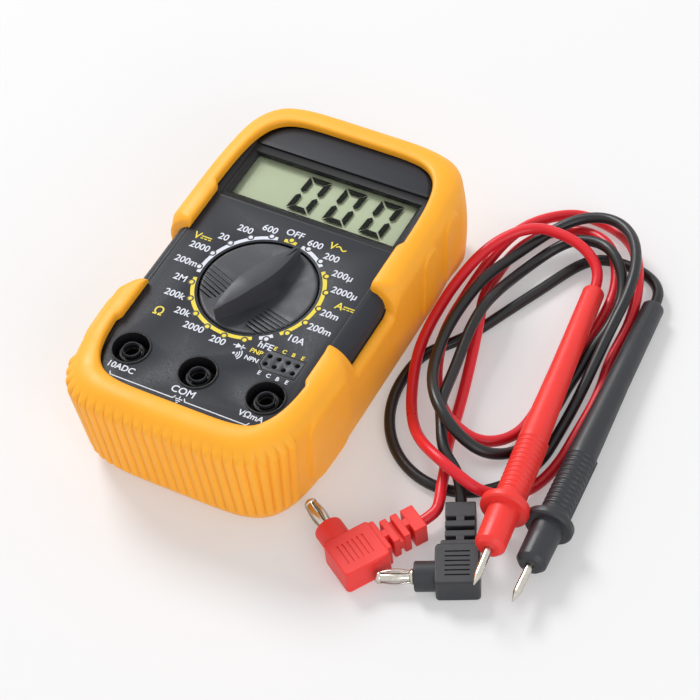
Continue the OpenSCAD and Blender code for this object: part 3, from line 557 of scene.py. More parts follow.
# Added to the second lead's run length, so that it is never close along the run to the first lead
RUN_APART = 10000
PLUG_AXIS = 3.75
PLUG_EXIT = 19.5
PLUGS = {"red": (49.5, -53.7, 58), "black": (75.6, -47, 116)}
PROBES = {"red": ((67.7, 45.9, 5), (82.3, -53.7, 11)), "black": ((83.2, 48.6, 3.4), (91, -50, 7))}
ROUTES = {
    "red": [
        (60.1, -26, 107, 3), (53.5, -7.5, 104, 3), (47.5, 16.5, 104, 3), (41, 47.5, 90, 3),
        (55, 65.5, 0, 3), (72.2, 44.5, -90, 3), (71.8, 32.5, -93, 3), (69.6, 19.5, -91, 3),
        (69.6, 4.5, -90, 4), (60, -9.5, 180, 4), (37, 35.5, 90, 4), (54, 72, 0, 4),
        (79.4, 38.5, -90, 4), (81.9, 9.5, -90, 7), (81.9, -1.5, -90, 7), (68, -25.3, 180, 7),
        (33.6, 27.5, 90, 7), (50, 57.5, 0, 7)],
    "black": [
        (54.5, -14.5, 117, 5), (49, -0.5, 100, 5), (45.5, 36.5, 90, 5), (58, 60, 0, 5),
        (75.9, 41.5, -90, 5), (74.4, 24.5, -92, 5), (73.7, 14.5, -90, 5), (73.7, 2.5, -90, 6),
        (63, -15, 180, 6), (40, 22.5, 92, 6), (61.5, 68.5, 0, 6), (77.7, 40.5, -90, 6),
        (77.8, 9.5, -90, 2), (77.8, -1.5, -90, 2), (58, -24.5, 180, 2), (34.4, 2.5, 90, 1),
        (46, 27.5, 66, 1), (56, 49.5, 66, 1), (69, 60.5, 0, 1)],
}


def plug_exit(plug):
    return np.array(plug[:2]) + PLUG_EXIT * heading(plug[2])


def lead_rows(colour):
    """Rows of one lead with its ends straight out of the plug and straight into the probe."""
    plug, probe, route = PLUGS[colour], PROBES[colour], ROUTES[colour]
    leave = plug_exit(plug)
    start = leave + END_STRAIGHT * heading(plug[2])
    run = unit(np.subtract(probe[1], probe[0]))
    turn = math.degrees(math.atan2(run[1], run[0]))
    tail = np.array(probe[0][:2])
    finish = tail - END_STRAIGHT * run[:2]
    first, last = route[0][3], route[-1][3]
    return [(*leave, plug[2], first), (*start, plug[2], first), *route,
            (*finish, turn, last), (*tail, turn, last)]


def plan(rows):
    """Points in plan and their ranks, on one smooth line through the rows."""
    points, ranks = [], []
    for a, b in zip(rows, rows[1:]):
        p, q = np.array(a[:2]), np.array(b[:2])
        u, v = heading(a[2]), heading(b[2])
        chord = q - p
        length = np.linalg.norm(chord)
        ku, kv = (min(max(ROUTE_BOW * abs(chord @ d), ROUTE_PULL * length), ROUTE_BOW * length)
                  for d in (u, v))
        count = math.ceil(length / ROUTE_STEP)
        for i in range(count):
            t = i / count
            points.append(p * (1 - t) ** 3 + (p + ku * u) * 3 * (1 - t) ** 2 * t
                          + (q - kv * v) * 3 * (1 - t) * t * t + q * t ** 3)
            ranks.append(a[3])
    points.append(np.array(rows[-1][:2]))
    ranks.append(rows[-1][3])
    points = np.array(points)
    far = run_length(points)
    even = np.linspace(0, far[-1], round(far[-1] / ROUTE_STEP) + 1)
    nearest = np.clip(np.searchsorted(far, even, side="right") - 1, 0, len(ranks) - 1)
    return points_at(even, far, points), np.array(ranks, float)[nearest]


def hump(d):
    return np.where(np.abs(d) < STRAND_FALL, 0.5 + 0.5 * np.cos(pi * d / STRAND_FALL), 0)


def relax(z, low, high):
    """One step towards the least bent line between two bounds that still sags a little."""
    w = np.pad(z, 2, mode="reflect", reflect_type="odd")
    ideal = (4 * (w[1:-3] + w[3:-1]) - w[:-4] - w[4:]) / 6 - SAG
    return np.clip((z + ideal) / 2, low, high)


def ceiling(points):
    """How high a strand may lie under the probes' handles."""
    top = np.full(len(points), np.inf)
    for tail, tip in PROBES.values():
        run = unit(np.subtract(tip, tail))
        along = (points - tail[:2]) @ run[:2] / (run[:2] @ run[:2])
        axis = np.array(tail) + np.outer(along, run)
        side = np.linalg.norm(points - axis[:, :2], axis=1)
        radius = np.interp(along, (0, HANDLE_L), HANDLE_R) + CABLE_D / 2 + HANDLE_CLEAR
        under = axis[:, 2] - np.sqrt(np.maximum(radius ** 2 - side ** 2, 0))
        held = (side < radius) & (along > 1) & (along < HANDLE_L)
        top = np.where(held, np.minimum(top, under), top)
    return np.maximum(top, CABLE_FLOOR)


def lead_points():
    """Points of both leads: each strand is raised over the lower ranks that it meets."""
    plans = [plan(lead_rows(colour)) for colour in PLUGS]
    count = len(plans[0][0])
    p, rank = (np.concatenate(parts) for parts in zip(*plans))
    s = np.concatenate([run_length(points) + k * RUN_APART for k, (points, _) in enumerate(plans)])
    base = np.full(len(p), CABLE_FLOOR)
    ends = (s[0], s[count - 1], s[count], s[-1])
    for end, rise in zip(ends, (PLUG_AXIS, PROBES["red"][0][2], PLUG_AXIS, PROBES["black"][0][2])):
        base = np.maximum(base, CABLE_FLOOR + (rise - CABLE_FLOOR) * hump(s - end))
    gap = np.linalg.norm(p[:, None] - p[None], axis=2)
    along = s[:, None] - s[None]
    below = (rank[None] < rank[:, None]) | ((rank[None] == rank[:, None]) & (along > 0))
    met = (gap < STRAND_PITCH) & (np.abs(along) > 3 * STRAND_PITCH) & below
    lift = np.where(met, np.sqrt(np.maximum(STRAND_PITCH ** 2 - gap ** 2, 0)), -np.inf)
    spread = hump(along)
    top = ceiling(p)
    z = base
    for _ in range(LIFT_ROUNDS):
        need = np.maximum(base, np.max(z[None] + lift, axis=1))
        z = np.maximum(base, CABLE_FLOOR + np.max((need - CABLE_FLOOR)[None] * spread, axis=1))
        z = np.minimum(z, top)
    parts = (slice(0, count), slice(count, None))
    for _ in range(SETTLE_ROUNDS):
        low = np.minimum(np.maximum(base, np.max(z[None] + lift, axis=1)), top)
        for _ in range(SETTLE_STEPS):
            z = np.concatenate([relax(z[part], low[part], top[part]) for part in parts])
    return [np.column_stack((p[part], z[part])) for part in parts]


def make_lead(colour, points, finish, slot):
    curve = bpy.data.curves.new(colour + "_lead", "CURVE")
    curve.dimensions = "3D"
    curve.bevel_depth = CABLE_D / 2 * MM
    curve.bevel_resolution = 6
    curve.resolution_u = 6
    curve.use_fill_caps = True
    spline = curve.splines.new("BEZIER")
    spline.bezier_points.add(len(points) - 1)
    for knot, point in zip(spline.bezier_points, points):
        knot.co = Vector(point) * MM
        knot.handle_left_type = knot.handle_right_type = "AUTO"
    curve.materials.append(finish)
    lead = add_object(colour + "_lead", curve)
    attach(lead, "meter")
    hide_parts(colour + "_cable")
    leave = [v * MM for v in (*plug_exit(PLUGS[colour]), PLUG_AXIS)]


GRIP_BOX = (51.0, 71.0, -2.3, 2.3)
GRIP_TURN = 26
GRIP_CORNER = 0.9
# Inset and height of the plate's rings
GRIP_ROWS = ((0.0, 2.4), (0.0, 3.68), (0.15, 3.82), (0.55, 3.82), (0.7, 3.7))


def make_grip_plate(colour, finish, slot):
    """A flat bare plate set into the grip of a probe's handle."""
    tail, tip = (np.array(end) for end in PROBES[colour])
    run = unit(tip - tail)
    side = np.array((-run[1], run[0], 0)) / math.hypot(run[0], run[1])
    turn = radians(GRIP_TURN)
    out = np.cross(run, -side) * cos(turn) + side * sin(turn)
    across = np.cross(run, out)
    plate = Shells()
    plate.loft([[tail + run * x + across * y + out * height
                 for x, y in rounded(GRIP_BOX, GRIP_CORNER + inset / 2, inset, 8)]
                for inset, height in GRIP_ROWS])
    return plate.piece(colour + "_grip_plate", finish, slot)


# Plug bodies, each in its plug's own millimetres: the cable along +Y, the contact along -X

PLUG_T = 7.5
PLUG_HALF = 5.5
PLUG_COLLAR = (3.7, 5.5)
# Distance past the collar's reach and step down of its radius
COLLAR_EDGE = ((0.6, 0.0), (0.85, 0.1), (1.0, 0.35))
PLUG_BLOCK = {"red": (-5.3, 6.3, -4.5, 8.0), "black": (-6.0, 4.8, -4.7, 7.0)}
PLUG_CORNER = 1.1
PLUG_EASE = 0.45
PLUG_GROOVES = 6
PLUG_GROOVE = (6.0, 0.4, 0.35)
PLUG_GROOVE_STEP = 1.35
PLUG_GROOVE_START = 2.3
RELIEF_ROOT = (4.7, 1.0, 1.2)
RELIEF_ROOT_PAST = 0.2
RELIEF_HALF = 3.7
RELIEF_IN = 0.25
RELIEF_Z = (0.5, 7.0)
RELIEF_SLOT = 1.05
RELIEF_OVERLAP = 0.4
RELIEF_PLATE = 1.85
RELIEF_SPINE = 1.0
RELIEF_THIN = 1.9


def add_relief(shells, y):
    """A strain relief from y to the cable's exit: plates on a spine that is slotted by turns."""
    low, high = RELIEF_Z
    half, back, front = RELIEF_ROOT
    shells.block((-half, half, y - back, y + front), low - RELIEF_ROOT_PAST, high + RELIEF_ROOT_PAST, 0.6)
    y += front
    tall = True
    while y < PLUG_EXIT - RELIEF_SLOT - RELIEF_PLATE:
        half = RELIEF_SPINE if tall else RELIEF_HALF - RELIEF_IN
        thin = 0 if tall else RELIEF_THIN
        shells.block((-half, half, y - RELIEF_OVERLAP, y + RELIEF_SLOT + RELIEF_OVERLAP),
                     low + thin, high - thin, 0.2, 0.1)
        y += RELIEF_SLOT
        last = y + 2 * RELIEF_PLATE + RELIEF_SLOT > PLUG_EXIT
        end = PLUG_EXIT if last else y + RELIEF_PLATE
        shells.block((-RELIEF_HALF, RELIEF_HALF, y, end), low, high, 0.35, 0.25)
        y = end
        tall = not tall


def make_plug(colour, finish, slot):
    """A plug's grooved block with its collar and its slotted strain relief."""
    shells = Shells()
    box = PLUG_BLOCK[colour]
    middle = (box[0] + box[1]) / 2
    length, width, depth = PLUG_GROOVE
    starts = [box[2] + PLUG_GROOVE_START + PLUG_GROOVE_STEP * i for i in range(PLUG_GROOVES)]
    grooves = [(middle - length / 2, middle + length / 2, y, y + width) for y in starts]
    shells.block(box, 0, PLUG_T, PLUG_CORNER, PLUG_EASE, lid=False)
    shells.grooved_lid(rounded(box, PLUG_CORNER, PLUG_EASE), grooves, PLUG_T, depth)
    radius, reach = PLUG_COLLAR
    rows = [(0, radius)] + [(reach + past, radius - down) for past, down in COLLAR_EDGE]
    shells.turned((1 - PLUG_HALF, 0, PLUG_AXIS), (-1, 0, 0), rows)
    add_relief(shells, box[3])
    plug_x, plug_y, turn = PLUGS[colour]
    ahead, aside = heading(turn), heading(turn - 90)
    shells.vertices = [(plug_x + x * aside[0] + y * ahead[0], plug_y + x * aside[1] + y * ahead[1], z)
                       for x, y, z in shells.vertices]
    body = shells.piece(colour + "_plug", finish, slot)
    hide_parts(colour + "_plug_body")
    return body


CONTACT_PIN = ((0, 1.9), (0.75, 1.9), (0.9, 1.7), (0.9, 0.75), (7.9, 0.75), (7.9, 1.55), (8.3, 1.72),
               (8.75, 1.6), (9.25, 1.15), (9.5, 0.6))
LEAF_SPAN = (0.7, 8.2)
LEAF_RADII = (1.5, 1.98)
LEAF_T = 0.22
LEAF_W = 1.75
LEAF_CROWN = 0.18
LEAF_RINGS = 15
LEAVES = 4


def add_leaf(shells, start, out, away):
    """One bowed spring leaf beside a line from start."""
    across = np.cross(away, out)
    rings = []
    for t in np.linspace(0, 1, LEAF_RINGS):
        r = LEAF_RADII[0] + (LEAF_RADII[1] - LEAF_RADII[0]) * sin(pi * t)
        middle = start + out * (LEAF_SPAN[0] + t * (LEAF_SPAN[1] - LEAF_SPAN[0]))
        upper = [(v, -LEAF_CROWN * abs(v)) for v in (-1, 0, 1)]
        lower = [(v, h - LEAF_T) for v, h in reversed(upper)]
        rings.append([middle + across * (v * LEAF_W / 2) + away * (r + h) for v, h in upper + lower])
    shells.loft(rings)


def make_contact(colour):
    """A plug's pin and the bowed spring leaves round it."""
    plug_x, plug_y, turn = PLUGS[colour]
    out = np.array((*heading(turn + 90), 0))
    side = np.array((*heading(turn), 0))
    start = np.array((plug_x, plug_y, PLUG_AXIS)) + out * (PLUG_HALF + PLUG_COLLAR[1])
    pin, leaves = Shells(), Shells()
    pin.turned(start, out, CONTACT_PIN)
    for k in range(LEAVES):
        a = 2 * pi * (k + 0.5) / LEAVES
        add_leaf(leaves, start, out, side * cos(a) + UP * sin(a))
    made = []
    for shells, name, node in ((pin, "_contact_pin", "_plug_pin"),
                               (leaves, "_contact_leaves", "_plug_spring")):
        piece = shells.piece(colour + name, nickel, "nickel")
        smooth_sides(piece)
        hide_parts(colour + node)
        made.append(piece)
    return made


# Holster: one closed skin, drawn as a profile at each place round the outline

HOLSTER_H = 31.6
HOLSTER_DRAFT = 2.2
LIP_ROUND = 5.0
FOOT_ROUND = 2.5
FOOT_REACH = 4
HOLSTER_FLOOR = 2.2
CORNER_POWER = 5.5
CASE_HALF = (30.15, 52.45)
CASE_DRAFT = 1.9
CASE_TOP = PANEL_Z + 0.15
CASE_ROUND = 4.0
SIDE_WALL = 2.85
END_WALL = 2.75
OPENING_HALF = (27.2, 47.25)
OPENING_POWER = 6.0
OPENING_MIDDLE = 0.75
NECK_HALF = 26.0
NECK_Y = (-29.5, 20.5)
NECK_EASE = (1.8, 2.0)
NECK_PAST = 0.5
NOTCH_Y = (-15.4, 5.0)
NOTCH_Z = 22.4
NOTCH_FOOT = (0.5, 2.5)
NOTCH_TOP = 2.0
INNER_ROUND = (0.9, 3.0)
INNER_TURN = (0.1, 0.8)
LEDGE_ROUND = 2.4
LEDGE_DEPTH = 2.0
SHOULDER_REACH = (5.5, 3.0)
SHOULDER_DROP = (6.5, 3.0)
SHOULDER_DEPTH = 1.6
RIB_PITCH = 2.75
RIB_COUNT = 27
RIB_Z = (2.4, 30.0)
RIB_FADE = 2.2
RIB_DEPTH = 1.15
# Lower end, upper end, top, share of the wall's lean taken up, and how far each grip pad stands out
PADS = ((-38.5, -19.8, 28.5, 0.2, 0.6), (20.5, 27.5, 27.0, 0.0, 0.55), (33.0, 40.5, 27.0, 0.0, 0.55))
PAD_FOOT = 3.0
PAD_CORNER = 5.0
PAD_EDGE = (-0.35, 0.25)
CORNER_Y = (36.0, 46.0)
CORNER_TURN = (0.15, 0.55)
CORNER_SWELL = 1.3
EDGE_SOFT = 0.32
SOFT_STEP = 0.1
OUTLINE_STEPS = 20000
# Distance between columns in general, on the sides, on the ribs and beside notches and pads
SPACING, SPACING_SIDE, SPACING_RIBS, SPACING_EDGE = 0.75, 0.4, 0.23, 0.2
SIDE_SHARE = 0.9
NOTCH_NEAR = NOTCH_FOOT[1] + 0.5
PAD_NEAR = 0.8
# A column whose line runs more than this much across the meter is on a side
SIDE_FACING = 0.6
REACH_RANGE = (-3.0, 14.0)
INSET_RANGE = (0.0, 8.0)
HALVINGS = 44
RING_COUNTS = (7, 58, 12, 14, 6, 6, 6, 3)


def oval_value(x, y, half, power):
    """Below zero inside an oval, above zero outside it."""
    return np.abs(x / half[0]) ** power + np.abs(y / half[1]) ** power - 1


def in_opening(x, y):
    """Below zero inside the holster's front opening, which is narrower at its neck."""
    half = (NECK_Y[1] - NECK_Y[0]) / 2
    step = smooth_step(np.abs(y - sum(NECK_Y) / 2), half - NECK_EASE[0], half + NECK_EASE[1])
    neck = np.abs(x) / (NECK_HALF + step * (OPENING_HALF[0] + NECK_PAST - NECK_HALF)) - 1
    return np.maximum(oval_value(x, y - OPENING_MIDDLE, OPENING_HALF, OPENING_POWER), neck)


class Holster:
    """Columns round the outline, each a line that runs straight in from the outer wall."""

    outer = (CASE_HALF[0] + SIDE_WALL, CASE_HALF[1] + END_WALL)
    wall_top = HOLSTER_H - LIP_ROUND
    case_wall_top = CASE_TOP - CASE_ROUND

    def __init__(self):
        a = np.linspace(0, 2 * pi, 2 * OUTLINE_STEPS + 1)
        ring = np.stack([half * np.sign(v) * np.abs(v) ** (2 / CORNER_POWER)
                         for half, v in zip(self.outer, (np.cos(a), np.sin(a)))], 1)
        far = run_length(ring)
        even = np.linspace(0, far[-1], OUTLINE_STEPS + 1)
        ring = points_at(even, far, ring)
        lower_end = 0.75 * even[-1]
        spacing = self.spacing(ring, even - lower_end)
        dense = np.concatenate(([0], np.cumsum(np.diff(even) / spacing[1:])))
        self.count = int(dense[-1])
        spots = np.interp(np.arange(self.count) * dense[-1] / self.count, dense, even)
        self.arc = spots - lower_end
        self.start = points_at(spots, even, ring)
        slope = np.abs(self.start / self.outer) ** (CORNER_POWER - 1) * np.sign(self.start) / self.outer
        self.inward = -slope / np.linalg.norm(slope, axis=1)[:, None]
        self.y = self.start[:, 1]
        self.side = np.abs(self.inward[:, 0]) > SIDE_FACING

    def spacing(self, ring, arc):
        """How far apart the columns are at places round the outline."""
        x, y = ring.T
        spacing = np.full(len(ring), SPACING)
        spacing[np.abs(x) > SIDE_SHARE * self.outer[0]] = SPACING_SIDE
        spacing[np.abs(arc) < RIB_PITCH * RIB_COUNT / 2 + 1] = SPACING_RIBS
        edges = [(edge, NOTCH_NEAR) for edge in NOTCH_Y]
        edges += [(edge, PAD_NEAR) for pad in PADS for edge in pad[:2]]
        for edge, near in edges:
            spacing[np.abs(y - edge) < near] = SPACING_EDGE
        return spacing

    def at(self, reach):
        return self.start + self.inward * np.reshape(reach, (-1, 1))

    def crossing(self, ends, past):
        """The value between two ends at which each column comes to pass a test."""
        low, high = (np.full(self.count, end) for end in ends)
        for _ in range(HALVINGS):
            middle = (low + high) / 2
            done = past(middle)
            high = np.where(done, middle, high)
            low = np.where(done, low, middle)
        return (low + high) / 2

    def reach(self, test):
        """How far in each column first passes a test that is below zero inside."""
        return self.crossing(REACH_RANGE, lambda far: test(*self.at(far).T) < 0)

    def reach_by_inset(self, half, insets):
        """A function for how far in an oval drawn in by an inset lies on each column."""
        rows = np.stack([self.reach(lambda x, y: oval_value(x, y, np.subtract(half, d), CORNER_POWER))
                         for d in insets], 1)

        def look_up(inset):
            wanted = np.broadcast_to(inset, self.count)
            return np.array([np.interp(v, insets, row) for v, row in zip(wanted, rows)])

        return look_up

    def case_inset(self, reach):
        """How far inside the case's own outline each column is at a reach."""
        x, y = self.at(reach).T
        return self.crossing(INSET_RANGE, lambda inset: oval_value(
            x, y, (CASE_HALF[0] - inset, CASE_HALF[1] - inset), CORNER_POWER) > 0)

    def cap(self):
        """Height at which the side notches cut each column off."""
        out = np.maximum(self.y - NOTCH_Y[1], NOTCH_Y[0] - self.y)
        radius = np.where(self.y < sum(NOTCH_Y) / 2, *NOTCH_FOOT)
        foot = np.clip(out + radius, 0, radius)
        top = np.clip(NOTCH_TOP - out, 0, NOTCH_TOP)
        low = NOTCH_Z + radius - np.sqrt(radius ** 2 - foot ** 2)
        high = HOLSTER_H - NOTCH_TOP + np.sqrt(NOTCH_TOP ** 2 - top ** 2)
        return np.where(out <= 0, low, high)

    def shoulder(self):
        """How far the lip's rounding reaches down beside the ends of the side notches."""
        fall = np.zeros(self.count)
        gaps = (NOTCH_Y[0] - self.y, self.y - NOTCH_Y[1])
        for gap, drop, reach in zip(gaps, SHOULDER_DROP, SHOULDER_REACH):
            fall = np.where(gap >= 0, drop * (1 - smooth_step(gap, 0, reach)), fall)
        return np.where(self.side, fall, 0)

    def lean(self, z):
        """How far the outer wall leans in at a height."""
        return HOLSTER_DRAFT * np.clip((self.wall_top - z) / self.wall_top, 0, 1)

    def case_lean(self, z):
        """How far the case's wall leans in at a height."""
        share = (self.case_wall_top - z) / (self.case_wall_top - HOLSTER_FLOOR)
        return np.clip(CASE_DRAFT * share, 0, None)

    def case_crown(self, inset):
        """Height of the case's rounded upper edge at an inset."""
        left = CASE_ROUND - np.minimum(inset, CASE_ROUND)
        return self.case_wall_top + np.sqrt(np.maximum(CASE_ROUND ** 2 - left ** 2, 0))

    def relief(self, z):
        """How far ribs, grip pads and the full upper corners stand out of the wall at a height."""
        turn = self.arc / RIB_PITCH
        phase = np.abs(turn - np.round(turn))
        low, high = RIB_Z
        fade = smooth_step(z, low, low + RIB_FADE) * smooth_step(z, high, high - RIB_FADE)
        ribbed = np.abs(self.arc) < RIB_COUNT * RIB_PITCH / 2
        rise = np.where(ribbed, RIB_DEPTH * np.sqrt(1 - (2 * phase) ** 2) * fade, 0)
        for y0, y1, top, upright, out in PADS:
            corner = min((y1 - y0) / 2, PAD_CORNER)
            over = np.abs(self.y - (y0 + y1) / 2) - (y1 - y0) / 2 + corner
            up = np.abs(z - (top + PAD_FOOT) / 2) - (top - PAD_FOOT) / 2 + corner
            edge = np.hypot(np.maximum(over, 0), np.maximum(up, 0)) + np.minimum(np.maximum(over, up), 0)
            share = np.where(self.side, 1 - smooth_step(edge - corner, *PAD_EDGE), 0)
            rise = np.maximum(rise, share * (upright * self.lean(z) + out))
        full = smooth_step(self.y, *CORNER_Y) * smooth_step(np.abs(self.inward[:, 0]), *CORNER_TURN)
        return rise + full * (self.lean(z) + CORNER_SWELL * np.sin(pi * np.clip(z / HOLSTER_H, 0, 1)))

    def outside(self, cap):
        """The foot, the wall and the lip as lists of reach and height."""
        deepest = HOLSTER_DRAFT + FOOT_ROUND + FOOT_REACH
        reach = self.reach_by_inset(self.outer, np.linspace(0, deepest, 40))
        shoulder = self.shoulder()
        top = np.minimum(cap, HOLSTER_H)
        wall_end = np.minimum(self.wall_top, top - LEDGE_ROUND) - shoulder
        foot = [(reach(self.lean(0) + FOOT_ROUND + FOOT_REACH), np.zeros(self.count))]
        for a in radians_between(90, 0, 8):
            z = FOOT_ROUND * (1 - sin(a))
            far = reach(self.lean(z) + FOOT_ROUND * (1 - cos(a))) - self.relief(z)
            foot.append((far, np.full(self.count, z)))
        wall = []
        for t in np.linspace(0, 1, 70):
            z = FOOT_ROUND + t * (wall_end - FOOT_ROUND)
            wall.append((reach(self.lean(z)) - self.relief(z), z))
        depth = np.interp(top - wall_end, (LEDGE_ROUND, LIP_ROUND), (LEDGE_DEPTH, LIP_ROUND))
        depth = depth + SHOULDER_DEPTH * shoulder / SHOULDER_DROP[0]
        lip = []
        for a in radians_between(0, 90, 16):
            z = wall_end + (top - wall_end) * sin(a)
            lip.append((reach(self.lean(wall_end) + depth * (1 - cos(a))) - self.relief(z), z))
        return [foot, wall, lip]

    def inside(self, cap, lip):
        """The brow, its drop, the face over the case, the pocket and the floor, past the lip."""
        reach = self.reach_by_inset(CASE_HALF, np.linspace(0, CASE_ROUND + 1, 30))
        rise = np.arcsin(np.clip((cap - self.case_wall_top) / CASE_ROUND, 0, 1))
        case_edge = np.where(cap > self.case_wall_top, reach(CASE_ROUND * (1 - np.cos(rise))),
                             reach(self.case_lean(cap)))
        edge = self.reach(in_opening)
        inner = np.where(cap >= CASE_TOP, edge, np.minimum(edge, case_edge))
        inset = self.case_inset(inner)
        under = np.minimum(self.case_crown(inset), cap - 0.02)
        turned = smooth_step(self.inward[:, 1], *INNER_TURN)
        ease = INNER_ROUND[0] + (INNER_ROUND[1] - INNER_ROUND[0]) * turned
        ease = np.minimum(ease, np.maximum(inner - lip, 0.02))
        fall = np.minimum(ease, np.maximum(cap - under - 0.3, 0.01))
        brow = [(lip + t * (inner - ease - lip), cap) for t in np.linspace(0, 1, 5)]
        brow += [(inner - ease * (1 - sin(a)), cap - fall * (1 - cos(a)))
                 for a in radians_between(10, 90, 9)]
        drop = [(inner, cap - fall + t * (under - cap + fall)) for t in np.linspace(0, 1, 6)]
        below = [(inner + t * (reach(0) - inner), np.minimum(self.case_crown(inset * (1 - t)), under))
                 for t in np.linspace(0, 1, 8)]
        wall_from = np.minimum(self.case_wall_top, under)
        pocket = []
        for t in np.linspace(0, 1, 10):
            z = wall_from + t * (HOLSTER_FLOOR + 1 - wall_from)
            pocket.append((reach(self.case_lean(z)), np.minimum(z, below[-1][1])))
        floor = [pocket[-1]]
        for further, up in ((0.3, 0.3), (1, 0), (3, 0)):
            floor.append((reach(CASE_DRAFT + further), np.full(self.count, HOLSTER_FLOOR + up)))
        return [brow, drop, below, pocket, floor]

    def sections(self):
        """The profile's runs as lists of reach and height, from the foot over the lip to the floor."""
        cap = self.cap()
        runs = self.outside(cap)
        return runs + self.inside(cap, runs[-1][-1][0])


def soften_profile(reach, z, marks):
    """One profile with its corners eased, read again at the marks along its length."""
    far = run_length(np.stack((reach, z), 1))
    even = np.arange(0, far[-1], SOFT_STEP)
    width = int(3 * EDGE_SOFT / SOFT_STEP)
    kernel = np.exp(-0.5 * (np.arange(-width, width + 1) * SOFT_STEP / EDGE_SOFT) ** 2)
    kernel /= kernel.sum()
    first, share, last = marks
    wanted = far[first] + share * (far[last] - far[first])
    eased = []
    for values in (reach, z):
        v = np.pad(np.interp(even, far, values), width, mode="edge")
        eased.append(np.interp(wanted, even, np.convolve(v, kernel, mode="valid")))
    return eased


def make_holster():
    shape = Holster()
    runs = shape.sections()
    reach = np.stack([r for run in runs for r, _ in run], 1)
    height = np.stack([h for run in runs for _, h in run], 1)
    starts = np.cumsum([0] + [len(run) for run in runs])
    run = np.repeat(np.arange(len(runs)), RING_COUNTS)
    share = np.concatenate([np.arange(count) / count for count in RING_COUNTS])
    end = starts[-1] - 1
    marks = (np.append(starts[run], end), np.append(share, 1.0), np.append(starts[run + 1] - 1, end))
    points = np.zeros((len(marks[1]), shape.count, 3))
    for c in range(shape.count):
        r, z = soften_profile(reach[c], height[c], marks)
        points[:, c, :2] = shape.start[c] + shape.inward[c] * r[:, None]
        points[:, c, 2] = np.maximum(z, 0)
    shell = Shells()
    shell.loft(points)
    skin = shell.piece("holster_skin", rubber, "holster_rubber")
    smooth_sides(skin)
    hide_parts("holster")


# Display

WINDOW_T = 0.6
WINDOW_GAP = 0.05
WINDOW_CUT = 0.25
FRAME_INSET = (1.0, 1.2)
FRAME_DROP = 0.62
FRAME_EDGE = 0.3
FACE_GAP = 0.02
LCD_VIEW = (47.0, 14.5)
LCD_LIFT = 0.65
DIGIT_AT = (-4.9, 5.6, 16.1)
DIGIT_SIZE = (6.5, 12.3)
DIGIT_STROKE = 1.65
DIGIT_GAP = 0.3
DIGIT_SLANT = 0.077
DIGIT_LIFT = 1.1
DIGIT_DEPTH = 0.04
DIGIT_T = 0.03


def digit_segments():
    """Outlines of the six outer segments of a display digit, before its slant."""
    w, h = (v / 2 for v in DIGIT_SIZE)
    t, g = DIGIT_STROKE, DIGIT_GAP
    top = [(-w + g, h), (-w + t + g, h - t), (w - t - g, h - t), (w - g, h)]
    side = [(w, h - g), (w - t, h - t - g), (w - t, t / 2 + g), (w - t / 2, g), (w, t / 2 + g)]
    upper = [top, side, [(-x, y) for x, y in reversed(side)]]
    return upper + [[(x, -y) for x, y in reversed(shape)] for shape in upper]


def make_display():
    low, high = box_mm("display_window")
    middle = (low + high)[:2] / 2
    half = (high - low)[:2] / 2 - WINDOW_GAP
    top = high[2]
    clear = Shells()
    rows = ((half, WINDOW_T), (half, WINDOW_CUT), (half - WINDOW_CUT, FACE_GAP))
    clear.loft([square_ring(middle, size, top - down) for size, down in rows])
    window = clear.piece("clear_window", window_clear, "window_clear")
    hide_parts("display_window")
    segments = Sheet(top - WINDOW_T - DIGIT_DEPTH, DIGIT_T)
    line = middle[1] + DIGIT_LIFT
    for at in DIGIT_AT:
        for shape in digit_segments():
            segments.prism([(at + x + DIGIT_SLANT * y, line + y) for x, y in reversed(shape)])
    segments.piece("lcd_digits", segment_black, "black_plastic")
    make_window_frame(middle, half - FRAME_INSET, top)


def make_window_frame(middle, outer, top):
    """A dark frame that slopes from the panel's opening down to the window."""
    view = middle + (0, LCD_LIFT)
    inner = np.array(LCD_VIEW) / 2
    rows = ((middle, outer, PANEL_Z - FRAME_DROP), (view, inner, top + FRAME_EDGE),
            (view, inner, top + FACE_GAP), (middle, outer, top + FACE_GAP))
    slope = Shells()
    slope.loft([square_ring(*row) for row in rows], looped=True)
    slope.piece("window_frame", black_plastic, "case_plastic")


# Printed panel, in millimetres from the dial's axis

PRINT_T = 0.02
PRINT_LIFT = 0.004
CAP_SHARE = 0.7
LETTER_WEIGHT = 0.045
STOPS = 20
BAND_R = (16.1, 17.15)
BAND_PAST = 0.33
# First stop and last stop of each band round the dial, and whether it is yellow
BANDS = ((0, 0, True), (1, 2, False), (3, 7, True), (8, 8, False), (9, 14, True), (15, 19, False))
DOT_R = 17.2
DOT_SIZE = 0.56
DOT_CLEAR = 0.98
RIM_T = 0.026
DOT_T = 0.032
RANGE_CAP = 2.0
RANGES = [
    ("OFF", -0.2, 19.4), ("600", 6.2, 18.3), ("200", 12.1, 16), ("200µ", 17.6, 11.8),
    ("2000µ", 20.7, 6.9), ("20m", 20.7, -0.8), ("200m", 20.7, -6), ("10A", 16.9, -11.2),
    ("200", -0.7, -19.2), ("2000", -8.3, -18), ("20k", -13.4, -14.8), ("200k", -18.2, -10.5),
    ("2M", -19.7, -5.2), ("200m", -21.2, 0.3), ("2000", -20.5, 5.9), ("20", -16.5, 11.2),
    ("200", -12.7, 15.7), ("600", -6.9, 18.3), ("COM", -0.2, -36.7),
]
WHITE_WORDS = [("hFE", 11.1, -16.0, 1.9), ("NPN", 9.9, -21, 1.3), ("10ADC", -18.2, -36.4, 1.75),
               ("VΩmA", 18.6, -36.5, 1.7)]
YELLOW_WORDS = [("V", 10.5, 19.7, 2.2), ("A", 21.5, 2.7, 2.2), ("Ω", -19, -17, 2.6), ("V", -23, 9, 2.2),
                ("PNP", 9.9, -18.5, 1.35)]
